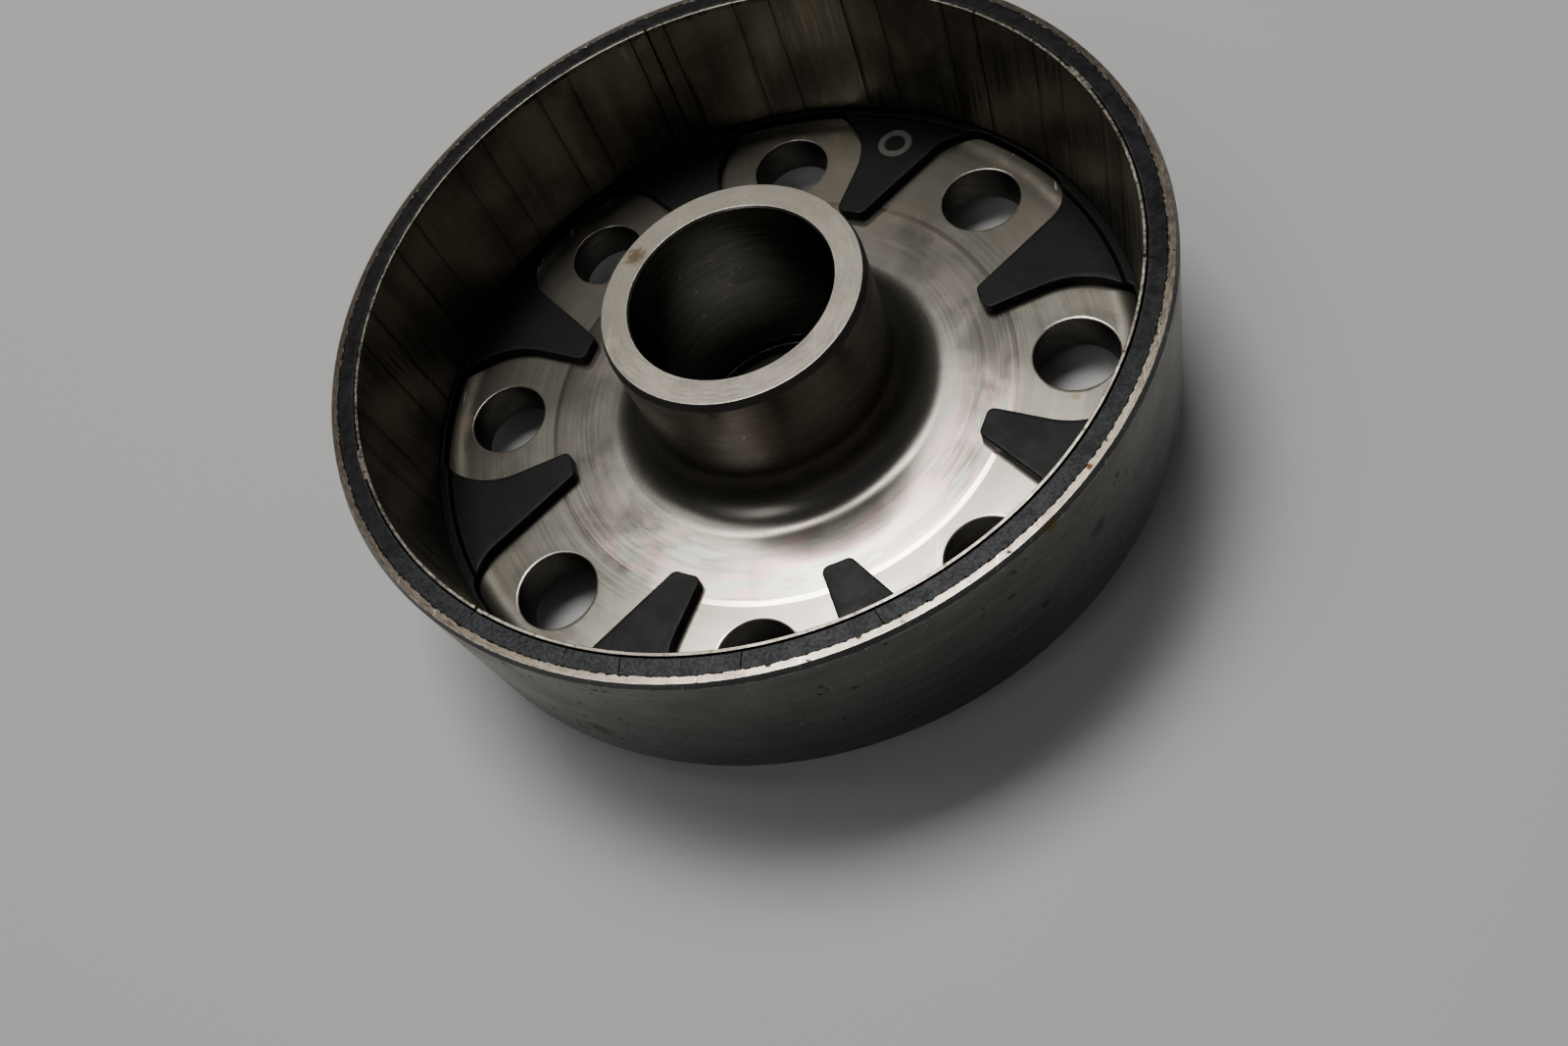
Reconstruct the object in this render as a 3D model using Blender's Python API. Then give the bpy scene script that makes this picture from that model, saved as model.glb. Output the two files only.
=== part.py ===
"""Magnet rotor of an alternator: a turned steel cup, lying open side up.

A ring of arc magnets stands inside the cup's wall. A thin steel guard ring lines
the magnets, and black resin moulded in between locks them. The resin also covers
the edge of the cup's floor and reaches inward as eight fingers, which leave the
steel bare around the eight screw holes.

Metres, +Z up. The origin is at the middle of the back boss's face, so the cup
stands on z = 0, and the turning axis is Z. Angles start at +X, where one of the
narrow windows in the resin lies.
"""
import math

import bmesh
import bpy
from mathutils import Matrix, Vector

# Steel cup, outside
CUP_R = 0.0650
CUP_HEIGHT = 0.0400
WALL_THICKNESS = 0.0016
RIM_CHAMFER_WIDTH = 0.00046
RIM_CHAMFER_HEIGHT = 0.00092
OUTER_WALL_HEIGHT = 0.0305
BACK_TAPER_WIDTH = 0.0065
BACK_BOSS_R = 0.0240
BACK_BOSS_HEIGHT = 0.0035

# Steel cup, inside
FLOOR_DEPTH = 0.0293
FLOOR_FILLET_R = 0.0075
FACED_FLOOR_R = 0.0393
FACED_FLOOR_RISE = 0.00025

# Hub in the middle of the cup
HUB_R = 0.0211
HUB_DROP = 0.0029
HUB_FILLET_R = 0.0075
HUB_CHAMFER_WIDTH = 0.0005
HUB_CHAMFER_HEIGHT = 0.0015
BORE_R = 0.0161
BORE_CHAMFER = 0.0003
UNDERCUT_DEPTH = 0.0009
UNDERCUT_TOP = 0.0040
BORE_LIP_WIDTH = 0.0009
BORE_LIP_HEIGHT = 0.0026

# Screw holes through the floor
HOLE_COUNT = 8
HOLE_CIRCLE_R = 0.0492
HOLE_R = 0.0068

# Guard ring, rolled from a strip whose ends meet at a seam
GUARD_THICKNESS = 0.0004
SEAM_ANGLE = math.radians(108.0)
SEAM_GAP = 0.0004

# Magnets
MAGNET_COUNT = 20
MAGNET_THICKNESS = 0.0024
MAGNET_LENGTH = 0.0195
MAGNET_SPAN = math.radians(12.0)
MAGNET_TOP_DROP = 0.0022

# Resin
RESIN_TOP_DROP = 0.0001
FINGER_HEIGHT = 0.0020
FINGER_TIP_R = 0.0366
LEDGE_WIDTH = 0.0021
LEDGE_SLOPE_WIDTH = 0.0009
LEDGE_RISE = 0.0009
WINDOW_LIMIT_INSET = 0.0006
NARROW_WINDOW_R = 0.0136
NARROW_WINDOW_TAPER = math.radians(20.0)
WIDE_WINDOW_HALF_WIDTH = 0.0139
WIDE_WINDOW_CORNER_R = 0.0070

# Clearances between separate pieces
LAYER_GAP = 0.0002
SEAT_GAP = 0.0003

# Mesh fineness
TURN_STEPS = 96
FILLET_STEPS = 5
HOLE_STEPS = 32
WINDOW_ARC_STEPS = 6

# Sizes that follow from the ones above
WALL_BORE_R = CUP_R - WALL_THICKNESS
FLOOR_Z = CUP_HEIGHT - FLOOR_DEPTH
WALL_FOOT_Z = CUP_HEIGHT - OUTER_WALL_HEIGHT
MAGNET_BORE_R = WALL_BORE_R - SEAT_GAP - MAGNET_THICKNESS
MAGNET_TOP_Z = CUP_HEIGHT - MAGNET_TOP_DROP
GUARD_OUTER_R = MAGNET_BORE_R - LAYER_GAP
GUARD_BORE_R = GUARD_OUTER_R - GUARD_THICKNESS
RESIN_BORE_R = GUARD_OUTER_R + LAYER_GAP
RESIN_OUTER_R = WALL_BORE_R - LAYER_GAP
RESIN_TOP_Z = CUP_HEIGHT - RESIN_TOP_DROP
RESIN_BASE_Z = FLOOR_Z + FACED_FLOOR_RISE + SEAT_GAP
FINGER_TOP_Z = FLOOR_Z + FINGER_HEIGHT
LEDGE_TOP_Z = FINGER_TOP_Z + LEDGE_RISE
GUARD_BOTTOM_Z = LEDGE_TOP_Z + SEAT_GAP
WINDOW_LIMIT_R = GUARD_BORE_R - WINDOW_LIMIT_INSET
CUT_MARGIN = 0.002


def clear_scene():
    """Remove every object, so that only this model is left."""
    for obj in list(bpy.data.objects):
        bpy.data.objects.remove(obj, do_unlink=True)


def make_material(name, colour, roughness, metallic):
    """Return a plain Principled material."""
    material = bpy.data.materials.new(name)
    material.use_nodes = True
    shader = material.node_tree.nodes["Principled BSDF"]
    shader.inputs["Base Color"].default_value = (*colour, 1.0)
    shader.inputs["Roughness"].default_value = roughness
    shader.inputs["Metallic"].default_value = metallic
    return material


def add_object(name, mesh, material=None):
    """Put a mesh into the scene as a named object, shaded smooth up to sharp edges."""
    obj = bpy.data.objects.new(name, mesh)
    bpy.context.scene.collection.objects.link(obj)
    if material is not None:
        mesh.materials.append(material)
    mesh.shade_smooth()
    mesh.set_sharp_from_angle(angle=math.radians(30.0))
    return obj


def finish_bmesh(bm, name):
    """Turn all faces outwards and return the result as a mesh."""
    bmesh.ops.recalc_face_normals(bm, faces=bm.faces)
    mesh = bpy.data.meshes.new(name)
    bm.to_mesh(mesh)
    bm.free()
    return mesh


def arc_points(centre, radius, start, end, steps):
    """Return points along an arc, both ends included. Angles are in radians."""
    angles = [start + (end - start) * i / steps for i in range(steps + 1)]
    return [(centre[0] + radius * math.cos(a), centre[1] + radius * math.sin(a)) for a in angles]


def turned_mesh(name, profile, start=0.0, sweep=math.tau, steps=TURN_STEPS):
    """Spin a closed outline of (radius, height) points about Z, part way or all round."""
    bm = bmesh.new()
    turn = Matrix.Rotation(start, 4, "Z")
    verts = [bm.verts.new(turn @ Vector((radius, 0.0, height))) for radius, height in profile]
    face = bm.faces.new(verts)
    full_turn = math.isclose(sweep, math.tau)
    geometry = list(face.edges) + list(verts)
    if full_turn:
        bm.faces.remove(face)
    else:
        geometry.append(face)
    bmesh.ops.spin(bm, geom=geometry, cent=(0, 0, 0), axis=(0, 0, 1), angle=sweep, steps=steps,
                   use_merge=full_turn)
    if not full_turn and not face.is_valid:
        bmesh.ops.holes_fill(bm, edges=bm.edges)
    return finish_bmesh(bm, name)


def prism_mesh(name, outline, bottom, top):
    """Extrude a closed (x, y) outline from one height to another."""
    bm = bmesh.new()
    face = bm.faces.new([bm.verts.new((x, y, bottom)) for x, y in outline])
    raised = bmesh.ops.extrude_face_region(bm, geom=[face])["geom"]
    lifted = [item for item in raised if isinstance(item, bmesh.types.BMVert)]
    bmesh.ops.translate(bm, verts=lifted, vec=(0, 0, top - bottom))
    return finish_bmesh(bm, name)


def add_cutter(name, mesh):
    """Add a guide object that is only used for cutting."""
    cutter = add_object(name, mesh)
    cutter.hide_render = True
    cutter.display_type = "WIRE"
    return cutter


def cut(target, cutter):
    """Take one object's shape out of another."""
    modifier = target.modifiers.new(cutter.name, "BOOLEAN")
    modifier.operation = "DIFFERENCE"
    modifier.solver = "EXACT"
    modifier.object = cutter


def joined_copies_mesh(name, mesh, angles):
    """Return one mesh that holds copies of another, turned about Z by each angle."""
    bm = bmesh.new()
    for angle in angles:
        copy = mesh.copy()
        copy.transform(Matrix.Rotation(angle, 4, "Z"))
        bm.from_mesh(copy)
        bpy.data.meshes.remove(copy)
    return finish_bmesh(bm, name)


def floor_fillet_centre():
    """Return the middle of the cove between the cup's wall and floor."""
    return (WALL_BORE_R - FLOOR_FILLET_R, FLOOR_Z + FLOOR_FILLET_R)


def cup_profile():
    """Return the cup's half section, from the bore's lip out, over the rim and back in."""
    faced_z = FLOOR_Z + FACED_FLOOR_RISE
    hub_top = CUP_HEIGHT - HUB_DROP
    hub_fillet_centre = (HUB_R + HUB_FILLET_R, faced_z + HUB_FILLET_R)
    cove = arc_points(floor_fillet_centre(), FLOOR_FILLET_R, 0.0, -math.pi / 2, FILLET_STEPS)
    undercut_r = BORE_R + UNDERCUT_DEPTH
    lip_r = BORE_R - BORE_LIP_WIDTH
    outside = [
        (lip_r, 0.0),
        (BACK_BOSS_R, 0.0),
        (BACK_BOSS_R, BACK_BOSS_HEIGHT),
        (CUP_R - BACK_TAPER_WIDTH, BACK_BOSS_HEIGHT),
        (CUP_R, WALL_FOOT_Z),
        (CUP_R, CUP_HEIGHT - RIM_CHAMFER_HEIGHT),
        (CUP_R - RIM_CHAMFER_WIDTH, CUP_HEIGHT),
    ]
    inside = [(WALL_BORE_R, CUP_HEIGHT)] + cove + [
        (FACED_FLOOR_R + FACED_FLOOR_RISE, FLOOR_Z),
        (FACED_FLOOR_R, faced_z),
    ]
    hub = arc_points(hub_fillet_centre, HUB_FILLET_R, -math.pi / 2, -math.pi, FILLET_STEPS) + [
        (HUB_R, hub_top - HUB_CHAMFER_HEIGHT),
        (HUB_R - HUB_CHAMFER_WIDTH, hub_top),
        (BORE_R + BORE_CHAMFER, hub_top),
        (BORE_R, hub_top - BORE_CHAMFER),
    ]
    bore = [
        (BORE_R, UNDERCUT_TOP),
        (undercut_r, UNDERCUT_TOP),
        (undercut_r, BORE_LIP_HEIGHT),
        (lip_r, BORE_LIP_HEIGHT),
    ]
    return outside + inside + hub + bore


def hole_angles():
    """Return the angle of each screw hole."""
    return [math.tau * i / HOLE_COUNT for i in range(HOLE_COUNT)]


def make_cup(material):
    """Turn the cup and drill its screw holes."""
    cup = add_object("steel_cup", turned_mesh("steel_cup", cup_profile()), material)
    half_step = math.pi / HOLE_STEPS
    outline = arc_points((HOLE_CIRCLE_R, 0.0), HOLE_R, half_step, half_step + math.tau,
                         HOLE_STEPS)[:-1]
    drill = prism_mesh("drill", outline, -CUT_MARGIN, FLOOR_Z + CUT_MARGIN)
    cut(cup, add_cutter("screw_hole_drills", joined_copies_mesh("drills", drill, hole_angles())))
    return cup


def resin_profile():
    """Return the resin's half section: the band behind the guard ring and the floor layer."""
    centre = floor_fillet_centre()
    cove_r = FLOOR_FILLET_R - SEAT_GAP
    lower_end = -math.asin((centre[1] - RESIN_BASE_Z) / cove_r)
    cove = arc_points(centre, cove_r, lower_end, 0.0, FILLET_STEPS)
    ledge_r = GUARD_BORE_R - LEDGE_WIDTH
    return [
        (FINGER_TIP_R, RESIN_BASE_Z),
        *cove,
        (RESIN_OUTER_R, centre[1] + SEAT_GAP),
        (RESIN_OUTER_R, RESIN_TOP_Z),
        (RESIN_BORE_R, RESIN_TOP_Z),
        (RESIN_BORE_R, LEDGE_TOP_Z),
        (ledge_r + LEDGE_SLOPE_WIDTH, LEDGE_TOP_Z),
        (ledge_r, FINGER_TOP_Z),
        (FINGER_TIP_R, FINGER_TOP_Z),
    ]


def window_inner_x():
    """Return how near the hub a window's cutter starts, clear of the finger tips."""
    return FINGER_TIP_R - 2 * CUT_MARGIN


def narrow_window_outline():
    """Return a window that is round about its hole and tapers towards the hub."""
    inner_x = window_inner_x()
    sweep = math.pi / 2 + NARROW_WINDOW_TAPER
    shoulder = arc_points((HOLE_CIRCLE_R, 0.0), NARROW_WINDOW_R, sweep, -sweep,
                          4 * WINDOW_ARC_STEPS + 1)
    inner_y = shoulder[0][1] - (shoulder[0][0] - inner_x) * math.tan(NARROW_WINDOW_TAPER)
    limited = []
    for x, y in shoulder:
        shrink = min(1.0, WINDOW_LIMIT_R / math.hypot(x, y))
        limited.append((x * shrink, y * shrink))
    return [(inner_x, inner_y)] + limited + [(inner_x, -inner_y)]


def wide_window_outline():
    """Return a window with parallel sides, and round corners that meet the outer limit."""
    inner_x = window_inner_x()
    corner_y = WIDE_WINDOW_HALF_WIDTH - WIDE_WINDOW_CORNER_R
    corner_x = math.sqrt((WINDOW_LIMIT_R - WIDE_WINDOW_CORNER_R) ** 2 - corner_y ** 2)
    touch = math.atan2(corner_y, corner_x)
    corner = arc_points((corner_x, corner_y), WIDE_WINDOW_CORNER_R, math.pi / 2, touch,
                        WINDOW_ARC_STEPS)
    crown = arc_points((0.0, 0.0), WINDOW_LIMIT_R, touch, -touch, 3)[1:-1]
    mirrored_corner = [(x, -y) for x, y in reversed(corner)]
    sides = [(inner_x, WIDE_WINDOW_HALF_WIDTH), (inner_x, -WIDE_WINDOW_HALF_WIDTH)]
    return sides[:1] + corner + crown + mirrored_corner + sides[1:]


def magnet_angles():
    """Return the middle angle of each magnet; the resin ribs lie half a pitch away."""
    pitch = math.tau / MAGNET_COUNT
    return [pitch * (i + 0.5) for i in range(MAGNET_COUNT)]


def arc_block_mesh(name, inner_r, outer_r, bottom, top, span):
    """Return a curved block, centred on +X."""
    steps = round(TURN_STEPS * span / math.tau)
    profile = [(inner_r, bottom), (outer_r, bottom), (outer_r, top), (inner_r, top)]
    return turned_mesh(name, profile, start=-span / 2, sweep=span, steps=max(steps, 2))


def make_resin(material):
    """Turn the resin, open a pocket for each magnet and a window around each hole."""
    resin = add_object("resin_moulding", turned_mesh("resin", resin_profile()), material)
    pocket_span = MAGNET_SPAN + 2 * SEAT_GAP / MAGNET_BORE_R
    pocket = arc_block_mesh("pocket", RESIN_BORE_R - CUT_MARGIN, RESIN_OUTER_R + CUT_MARGIN,
                            MAGNET_TOP_Z - MAGNET_LENGTH - SEAT_GAP, MAGNET_TOP_Z + SEAT_GAP,
                            pocket_span)
    cut(resin, add_cutter("magnet_pockets", joined_copies_mesh("pockets", pocket, magnet_angles())))
    top = LEDGE_TOP_Z + CUT_MARGIN
    bottom = FLOOR_Z - CUT_MARGIN
    outlines = {"narrow_windows": (narrow_window_outline(), hole_angles()[0::2]),
                "wide_windows": (wide_window_outline(), hole_angles()[1::2])}
    for name, (outline, angles) in outlines.items():
        window = prism_mesh(name, outline, bottom, top)
        cut(resin, add_cutter(name + "_cutter", joined_copies_mesh(name, window, angles)))
    return resin


def make_guard_ring(material):
    """Roll the guard ring's strip round, leaving the narrow seam between its ends."""
    seam_span = SEAM_GAP / GUARD_BORE_R
    profile = [
        (GUARD_BORE_R, GUARD_BOTTOM_Z),
        (GUARD_OUTER_R, GUARD_BOTTOM_Z),
        (GUARD_OUTER_R, CUP_HEIGHT),
        (GUARD_BORE_R, CUP_HEIGHT),
    ]
    mesh = turned_mesh("guard_ring", profile, start=SEAM_ANGLE + seam_span / 2,
                       sweep=math.tau - seam_span)
    return add_object("guard_ring", mesh, material)


def make_magnets(material):
    """Stand the arc magnets in their pockets."""
    shape = arc_block_mesh("magnet", MAGNET_BORE_R, MAGNET_BORE_R + MAGNET_THICKNESS,
                           MAGNET_TOP_Z - MAGNET_LENGTH, MAGNET_TOP_Z, MAGNET_SPAN)
    for number, angle in enumerate(magnet_angles(), start=1):
        magnet = add_object(f"magnet_{number:02d}", shape, material if number == 1 else None)
        magnet.rotation_euler = (0.0, 0.0, angle)


def main():
    """Build the rotor."""
    clear_scene()
    make_cup(make_material("turned_steel", (0.56, 0.55, 0.53), 0.32, 1.0))
    make_resin(make_material("black_resin", (0.035, 0.035, 0.038), 0.55, 0.0))
    make_guard_ring(make_material("stainless_strip", (0.42, 0.40, 0.36), 0.35, 1.0))
    make_magnets(make_material("sintered_magnet", (0.10, 0.10, 0.11), 0.60, 0.6))


main()
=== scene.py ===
"""Looks of an alternator's magnet rotor, a turned steel cup that lies open side up.

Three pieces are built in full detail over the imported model: the steel cup, the black
resin moulded into it, and the thin guard ring that lines the magnets. The twenty
magnets keep their own solids. Everything is in metres in the model's own frame, with
the turning axis along Z and angles counted from +X, where a narrow window in the
resin lies. Angles in the fields below are in degrees.
"""
from __future__ import annotations

import logging
import math
from collections.abc import Callable
from dataclasses import dataclass, field
from enum import IntEnum

import bmesh
import bpy
import numpy as np
from mathutils import Matrix, Vector

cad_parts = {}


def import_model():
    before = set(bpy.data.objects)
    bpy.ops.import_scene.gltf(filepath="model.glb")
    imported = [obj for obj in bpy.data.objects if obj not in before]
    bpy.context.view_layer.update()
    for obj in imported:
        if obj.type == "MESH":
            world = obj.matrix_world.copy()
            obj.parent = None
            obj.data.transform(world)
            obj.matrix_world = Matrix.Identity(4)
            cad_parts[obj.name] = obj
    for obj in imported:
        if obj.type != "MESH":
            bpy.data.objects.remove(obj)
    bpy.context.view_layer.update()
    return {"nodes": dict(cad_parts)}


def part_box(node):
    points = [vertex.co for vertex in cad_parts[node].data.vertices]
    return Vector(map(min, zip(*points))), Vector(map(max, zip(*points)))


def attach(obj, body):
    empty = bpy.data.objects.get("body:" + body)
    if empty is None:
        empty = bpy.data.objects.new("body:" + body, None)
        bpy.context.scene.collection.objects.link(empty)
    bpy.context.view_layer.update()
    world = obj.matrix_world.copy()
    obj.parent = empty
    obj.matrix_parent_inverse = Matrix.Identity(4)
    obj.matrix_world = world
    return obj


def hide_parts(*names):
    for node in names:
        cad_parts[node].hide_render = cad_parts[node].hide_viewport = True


LOG = logging.getLogger("rotor")
MM = 0.001
Colour = tuple[float, float, float]
Height = Callable[[np.ndarray], np.ndarray]


# Shapes as arrays

def rounded_outline(corners: np.ndarray, radii: np.ndarray, step: float = 15.0,
                    support: float = 0.08 * MM) -> tuple[np.ndarray, np.ndarray]:
    """Round the corners of an open outline.

    Each corner gives way to the arc of its radius that touches both sides. A point
    close before and after each arc keeps the flats beside it flat.

    Args:
        corners: (n, 2) radius and height of each corner.
        radii: (n,) rounding of each corner; 0 leaves it sharp.
        step: the most that an arc turns between two points, in degrees.
        support: how far the extra points lie from an arc's ends.

    Returns:
        (m, 2) points, and (m,) marks that are 1 on an arc and 0 elsewhere.
    """
    points, marks = [corners[:1]], [np.zeros(1)]
    for before, corner, after, radius in zip(corners, corners[1:], corners[2:], radii[1:]):
        back, ahead = before - corner, after - corner
        room = min(np.linalg.norm(back), np.linalg.norm(ahead))
        back, ahead = back / np.linalg.norm(back), ahead / np.linalg.norm(ahead)
        half = math.acos(float(np.clip(back @ ahead, -1.0, 1.0))) / 2
        if radius <= 0 or half > math.radians(89.5):
            points.append(corner[None])
            marks.append(np.zeros(1))
            continue
        reach = min(radius / math.tan(half), 0.45 * room)
        radius = reach * math.tan(half)
        middle = (back + ahead) / np.linalg.norm(back + ahead)
        centre = corner + middle * radius / math.sin(half)
        count = max(2, math.ceil((180.0 - math.degrees(2 * half)) / step))
        turn = np.linspace(-(math.pi / 2 - half), math.pi / 2 - half, count + 1)[:, None]
        side = back - middle * (back @ middle)
        side = side / np.linalg.norm(side)
        arc = centre - middle * radius * np.cos(turn) - side * radius * np.sin(turn)
        near = min(support, 0.2 * room)
        points += [arc[:1] + back * near, arc, arc[-1:] + ahead * near]
        marks += [np.zeros(1), np.ones(count + 1), np.zeros(1)]
    points.append(corners[-1:])
    marks.append(np.zeros(1))
    return np.vstack(points), np.concatenate(marks)


def circle(centre: tuple[float, float], radius: float, angles: np.ndarray) -> np.ndarray:
    """Return (n, 2) points on a circle at the given angles, in radians."""
    return np.array(centre) + radius * np.stack([np.cos(angles), np.sin(angles)], axis=-1)


def turned(profile: np.ndarray, angles: np.ndarray) -> np.ndarray:
    """Carry (n, 2) radius-height points round Z and return an (n, angles, 3) grid."""
    radius, height = profile[:, :1], profile[:, 1:]
    flat = np.ones_like(angles)[None]
    return np.stack([radius * np.cos(angles), radius * np.sin(angles), height * flat], axis=-1)


def wander(angles: np.ndarray, waves: tuple[int, ...], seed: int) -> np.ndarray:
    """Return a smooth closed wobble of about -1 to 1: a sum of sines with seeded phases."""
    random = np.random.default_rng(seed)
    phases = random.uniform(0.0, math.tau, len(waves))
    weights = random.uniform(0.5, 1.0, len(waves))
    waveform = np.sin(np.multiply.outer(angles, np.array(waves)) + phases) @ weights
    return waveform / weights.sum()


def within(angles: np.ndarray, start: float, end: float, soft: float = 0.12) -> np.ndarray:
    """Return 1 between two angles and 0 outside, with soft ends, in degrees."""
    middle, half = (start + end) / 2, (end - start) / 2
    away = np.abs((np.degrees(angles) - middle + 180.0) % 360.0 - 180.0)
    return np.clip((half - away) / soft + 0.5, 0.0, 1.0)


def spun(grid: np.ndarray, turn: float) -> np.ndarray:
    """Return a grid turned about Z."""
    cosine, sine = math.cos(turn), math.sin(turn)
    return grid @ np.array([(cosine, sine, 0.0), (-sine, cosine, 0.0), (0.0, 0.0, 1.0)])


def lifted(flat: np.ndarray, height: Height) -> np.ndarray:
    """Give a flat grid the heights that belong to its radii."""
    return np.concatenate([flat, height(np.linalg.norm(flat, axis=-1))[..., None]], axis=-1)


class Shell:
    """Collects grids of points and welds them into one mesh object."""

    def __init__(self) -> None:
        """Start with nothing."""
        self._points: list[np.ndarray] = []
        self._edges: list[np.ndarray] = []
        self._faces: list[np.ndarray] = []
        self._finishes: list[np.ndarray] = []
        self._count = 0

    def add(self, grid: np.ndarray, finish: int | np.ndarray = 0,
            edge: np.ndarray | None = None, wrap_rows: bool = False,
            wrap_columns: bool = False, flip: bool = False) -> None:
        """Add a grid of quads.

        Args:
            grid: (rows, columns, 3) points.
            finish: material slot, for all faces or for each row of faces.
            edge: (rows,) marks of the rows that lie on a rounded edge.
            wrap_rows: join the last row to the first.
            wrap_columns: join the last column to the first.
            flip: turn the faces over.
        """
        rows, columns = grid.shape[:2]
        index = np.arange(rows * columns).reshape(rows, columns) + self._count
        if wrap_rows:
            index = np.vstack([index, index[:1]])
        if wrap_columns:
            index = np.hstack([index, index[:, :1]])
        quads = np.stack([index[:-1, :-1], index[:-1, 1:], index[1:, 1:], index[1:, :-1]], axis=-1)
        slots = np.broadcast_to(np.atleast_1d(finish)[:, None], quads.shape[:2])
        quads = quads.reshape(-1, 4)
        marks = np.zeros(rows) if edge is None else edge
        self._points.append(grid.reshape(-1, 3))
        self._edges.append(np.repeat(marks, columns))
        self._faces.append(quads[:, ::-1] if flip else quads)
        self._finishes.append(slots.reshape(-1))
        self._count += rows * columns

    def build(self, name: str, materials: list[bpy.types.Material]) -> bpy.types.Object:
        """Weld the grids, turn the faces outwards and return the object."""
        mesh = bpy.data.meshes.new(name)
        mesh.from_pydata(np.vstack(self._points).tolist(), [], np.vstack(self._faces).tolist())
        mesh.polygons.foreach_set("material_index", np.concatenate(self._finishes).astype(np.int32))
        wear_and_sheen = mesh.attributes.new("edge", "FLOAT", "POINT")
        wear_and_sheen.data.foreach_set("value", np.concatenate(self._edges).astype(np.float32))
        bm = bmesh.new()
        bm.from_mesh(mesh)
        bmesh.ops.remove_doubles(bm, verts=bm.verts, dist=0.002 * MM)
        bmesh.ops.recalc_face_normals(bm, faces=bm.faces)
        bm.to_mesh(mesh)
        open_edges = sum(1 for edge in bm.edges if not edge.is_manifold)
        bm.free()
        for material in materials:
            mesh.materials.append(material)
        mesh.shade_smooth()
        mesh.set_sharp_from_angle(angle=math.radians(32.0))
        piece = bpy.data.objects.new(name, mesh)
        bpy.context.scene.collection.objects.link(piece)
        triangles = sum(len(face.vertices) - 2 for face in mesh.polygons)
        LOG.info("%s: %d triangles, %d open edges", name, triangles, open_edges)
        return piece


# Shader graph helpers and shared effects

class Graph:
    """Short ways to add and join shader nodes in one tree."""

    MIX_COLOURS = (6, 7)
    MIX_RESULT = 2

    def __init__(self, tree: bpy.types.NodeTree) -> None:
        """Work in the given tree."""
        self.tree = tree

    def add(self, kind: str, **settings: object) -> bpy.types.Node:
        """Add a node and set its properties."""
        node = self.tree.nodes.new(kind)
        for name, value in settings.items():
            setattr(node, name, value)
        return node

    def put(self, socket: bpy.types.NodeSocket, value: object) -> None:
        """Link another socket into this one, or set its plain value."""
        if isinstance(value, Value):
            value = value.socket
        if isinstance(value, bpy.types.NodeSocket):
            self.tree.links.new(value, socket)
        elif isinstance(value, tuple) and socket.type == "RGBA":
            socket.default_value = (*value, 1.0)
        else:
            socket.default_value = value

    def maths(self, operation: str, *values: object, clamp: bool = False) -> Value:
        """Return the result of a Math node."""
        node = self.add("ShaderNodeMath", operation=operation, use_clamp=clamp)
        for socket, value in zip(node.inputs, values):
            self.put(socket, value)
        return Value(self, node.outputs[0])

    def vectors(self, operation: str, *values: object, output: str = "Vector") -> Value:
        """Return a result of a Vector Math node."""
        node = self.add("ShaderNodeVectorMath", operation=operation)
        for socket, value in zip(node.inputs, values):
            self.put(socket, value)
        return Value(self, node.outputs[output])

    def joined(self, x: object, y: object, z: object) -> Value:
        """Return a vector of three numbers."""
        node = self.add("ShaderNodeCombineXYZ")
        for socket, value in zip(node.inputs, (x, y, z)):
            self.put(socket, value)
        return Value(self, node.outputs[0])

    def parts(self, vector: Value) -> list[Value]:
        """Return a vector's three numbers."""
        node = self.add("ShaderNodeSeparateXYZ")
        self.put(node.inputs[0], vector)
        return [Value(self, socket) for socket in node.outputs]

    def noise(self, vector: Value, scale: object, detail: float = 2.0,
              roughness: float = 0.5, distortion: float = 0.0) -> Value:
        """Return a noise value of about 0 to 1."""
        node = self.add("ShaderNodeTexNoise")
        self.put(node.inputs["Vector"], vector)
        self.put(node.inputs["Scale"], scale)
        node.inputs["Detail"].default_value = detail
        node.inputs["Roughness"].default_value = roughness
        node.inputs["Distortion"].default_value = distortion
        return Value(self, node.outputs["Fac"])

    def ramp(self, value: Value, start: object, end: object,
             low: object = 0.0, high: object = 1.0) -> Value:
        """Return low at start and high at end, eased between."""
        node = self.add("ShaderNodeMapRange", interpolation_type="SMOOTHSTEP", clamp=True)
        for name, number in (("Value", value), ("From Min", start), ("From Max", end),
                             ("To Min", low), ("To Max", high)):
            self.put(node.inputs[name], number)
        return Value(self, node.outputs["Result"])

    def mixed(self, factor: object, first: object, second: object) -> Value:
        """Return a blend of two colours."""
        node = self.add("ShaderNodeMix", data_type="RGBA", clamp_factor=True)
        self.put(node.inputs["Factor"], factor)
        self.put(node.inputs[self.MIX_COLOURS[0]], first)
        self.put(node.inputs[self.MIX_COLOURS[1]], second)
        return Value(self, node.outputs[self.MIX_RESULT])

    def bump(self, height: Value, distance: float) -> Value:
        """Return a normal raised by a height."""
        node = self.add("ShaderNodeBump")
        self.put(node.inputs["Height"], height)
        node.inputs["Distance"].default_value = distance
        node.inputs["Strength"].default_value = 1.0
        return Value(self, node.outputs["Normal"])

    def place(self) -> Value:
        """Return the place on the object."""
        return Value(self, self.add("ShaderNodeTexCoord").outputs["Object"])

    def use(self, group: bpy.types.NodeTree, **values: object) -> list[Value]:
        """Add a shared effect with its values and return its outputs."""
        node = self.add("ShaderNodeGroup", node_tree=group)
        for name, value in values.items():
            self.put(node.inputs[name.replace("_", " ").title()], value)
        return [Value(self, socket) for socket in node.outputs]

    def mask(self, group: bpy.types.NodeTree, **values: object) -> Value:
        """Add a shared effect with its values and return its only output."""
        return self.use(group, **values)[0]


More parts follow.
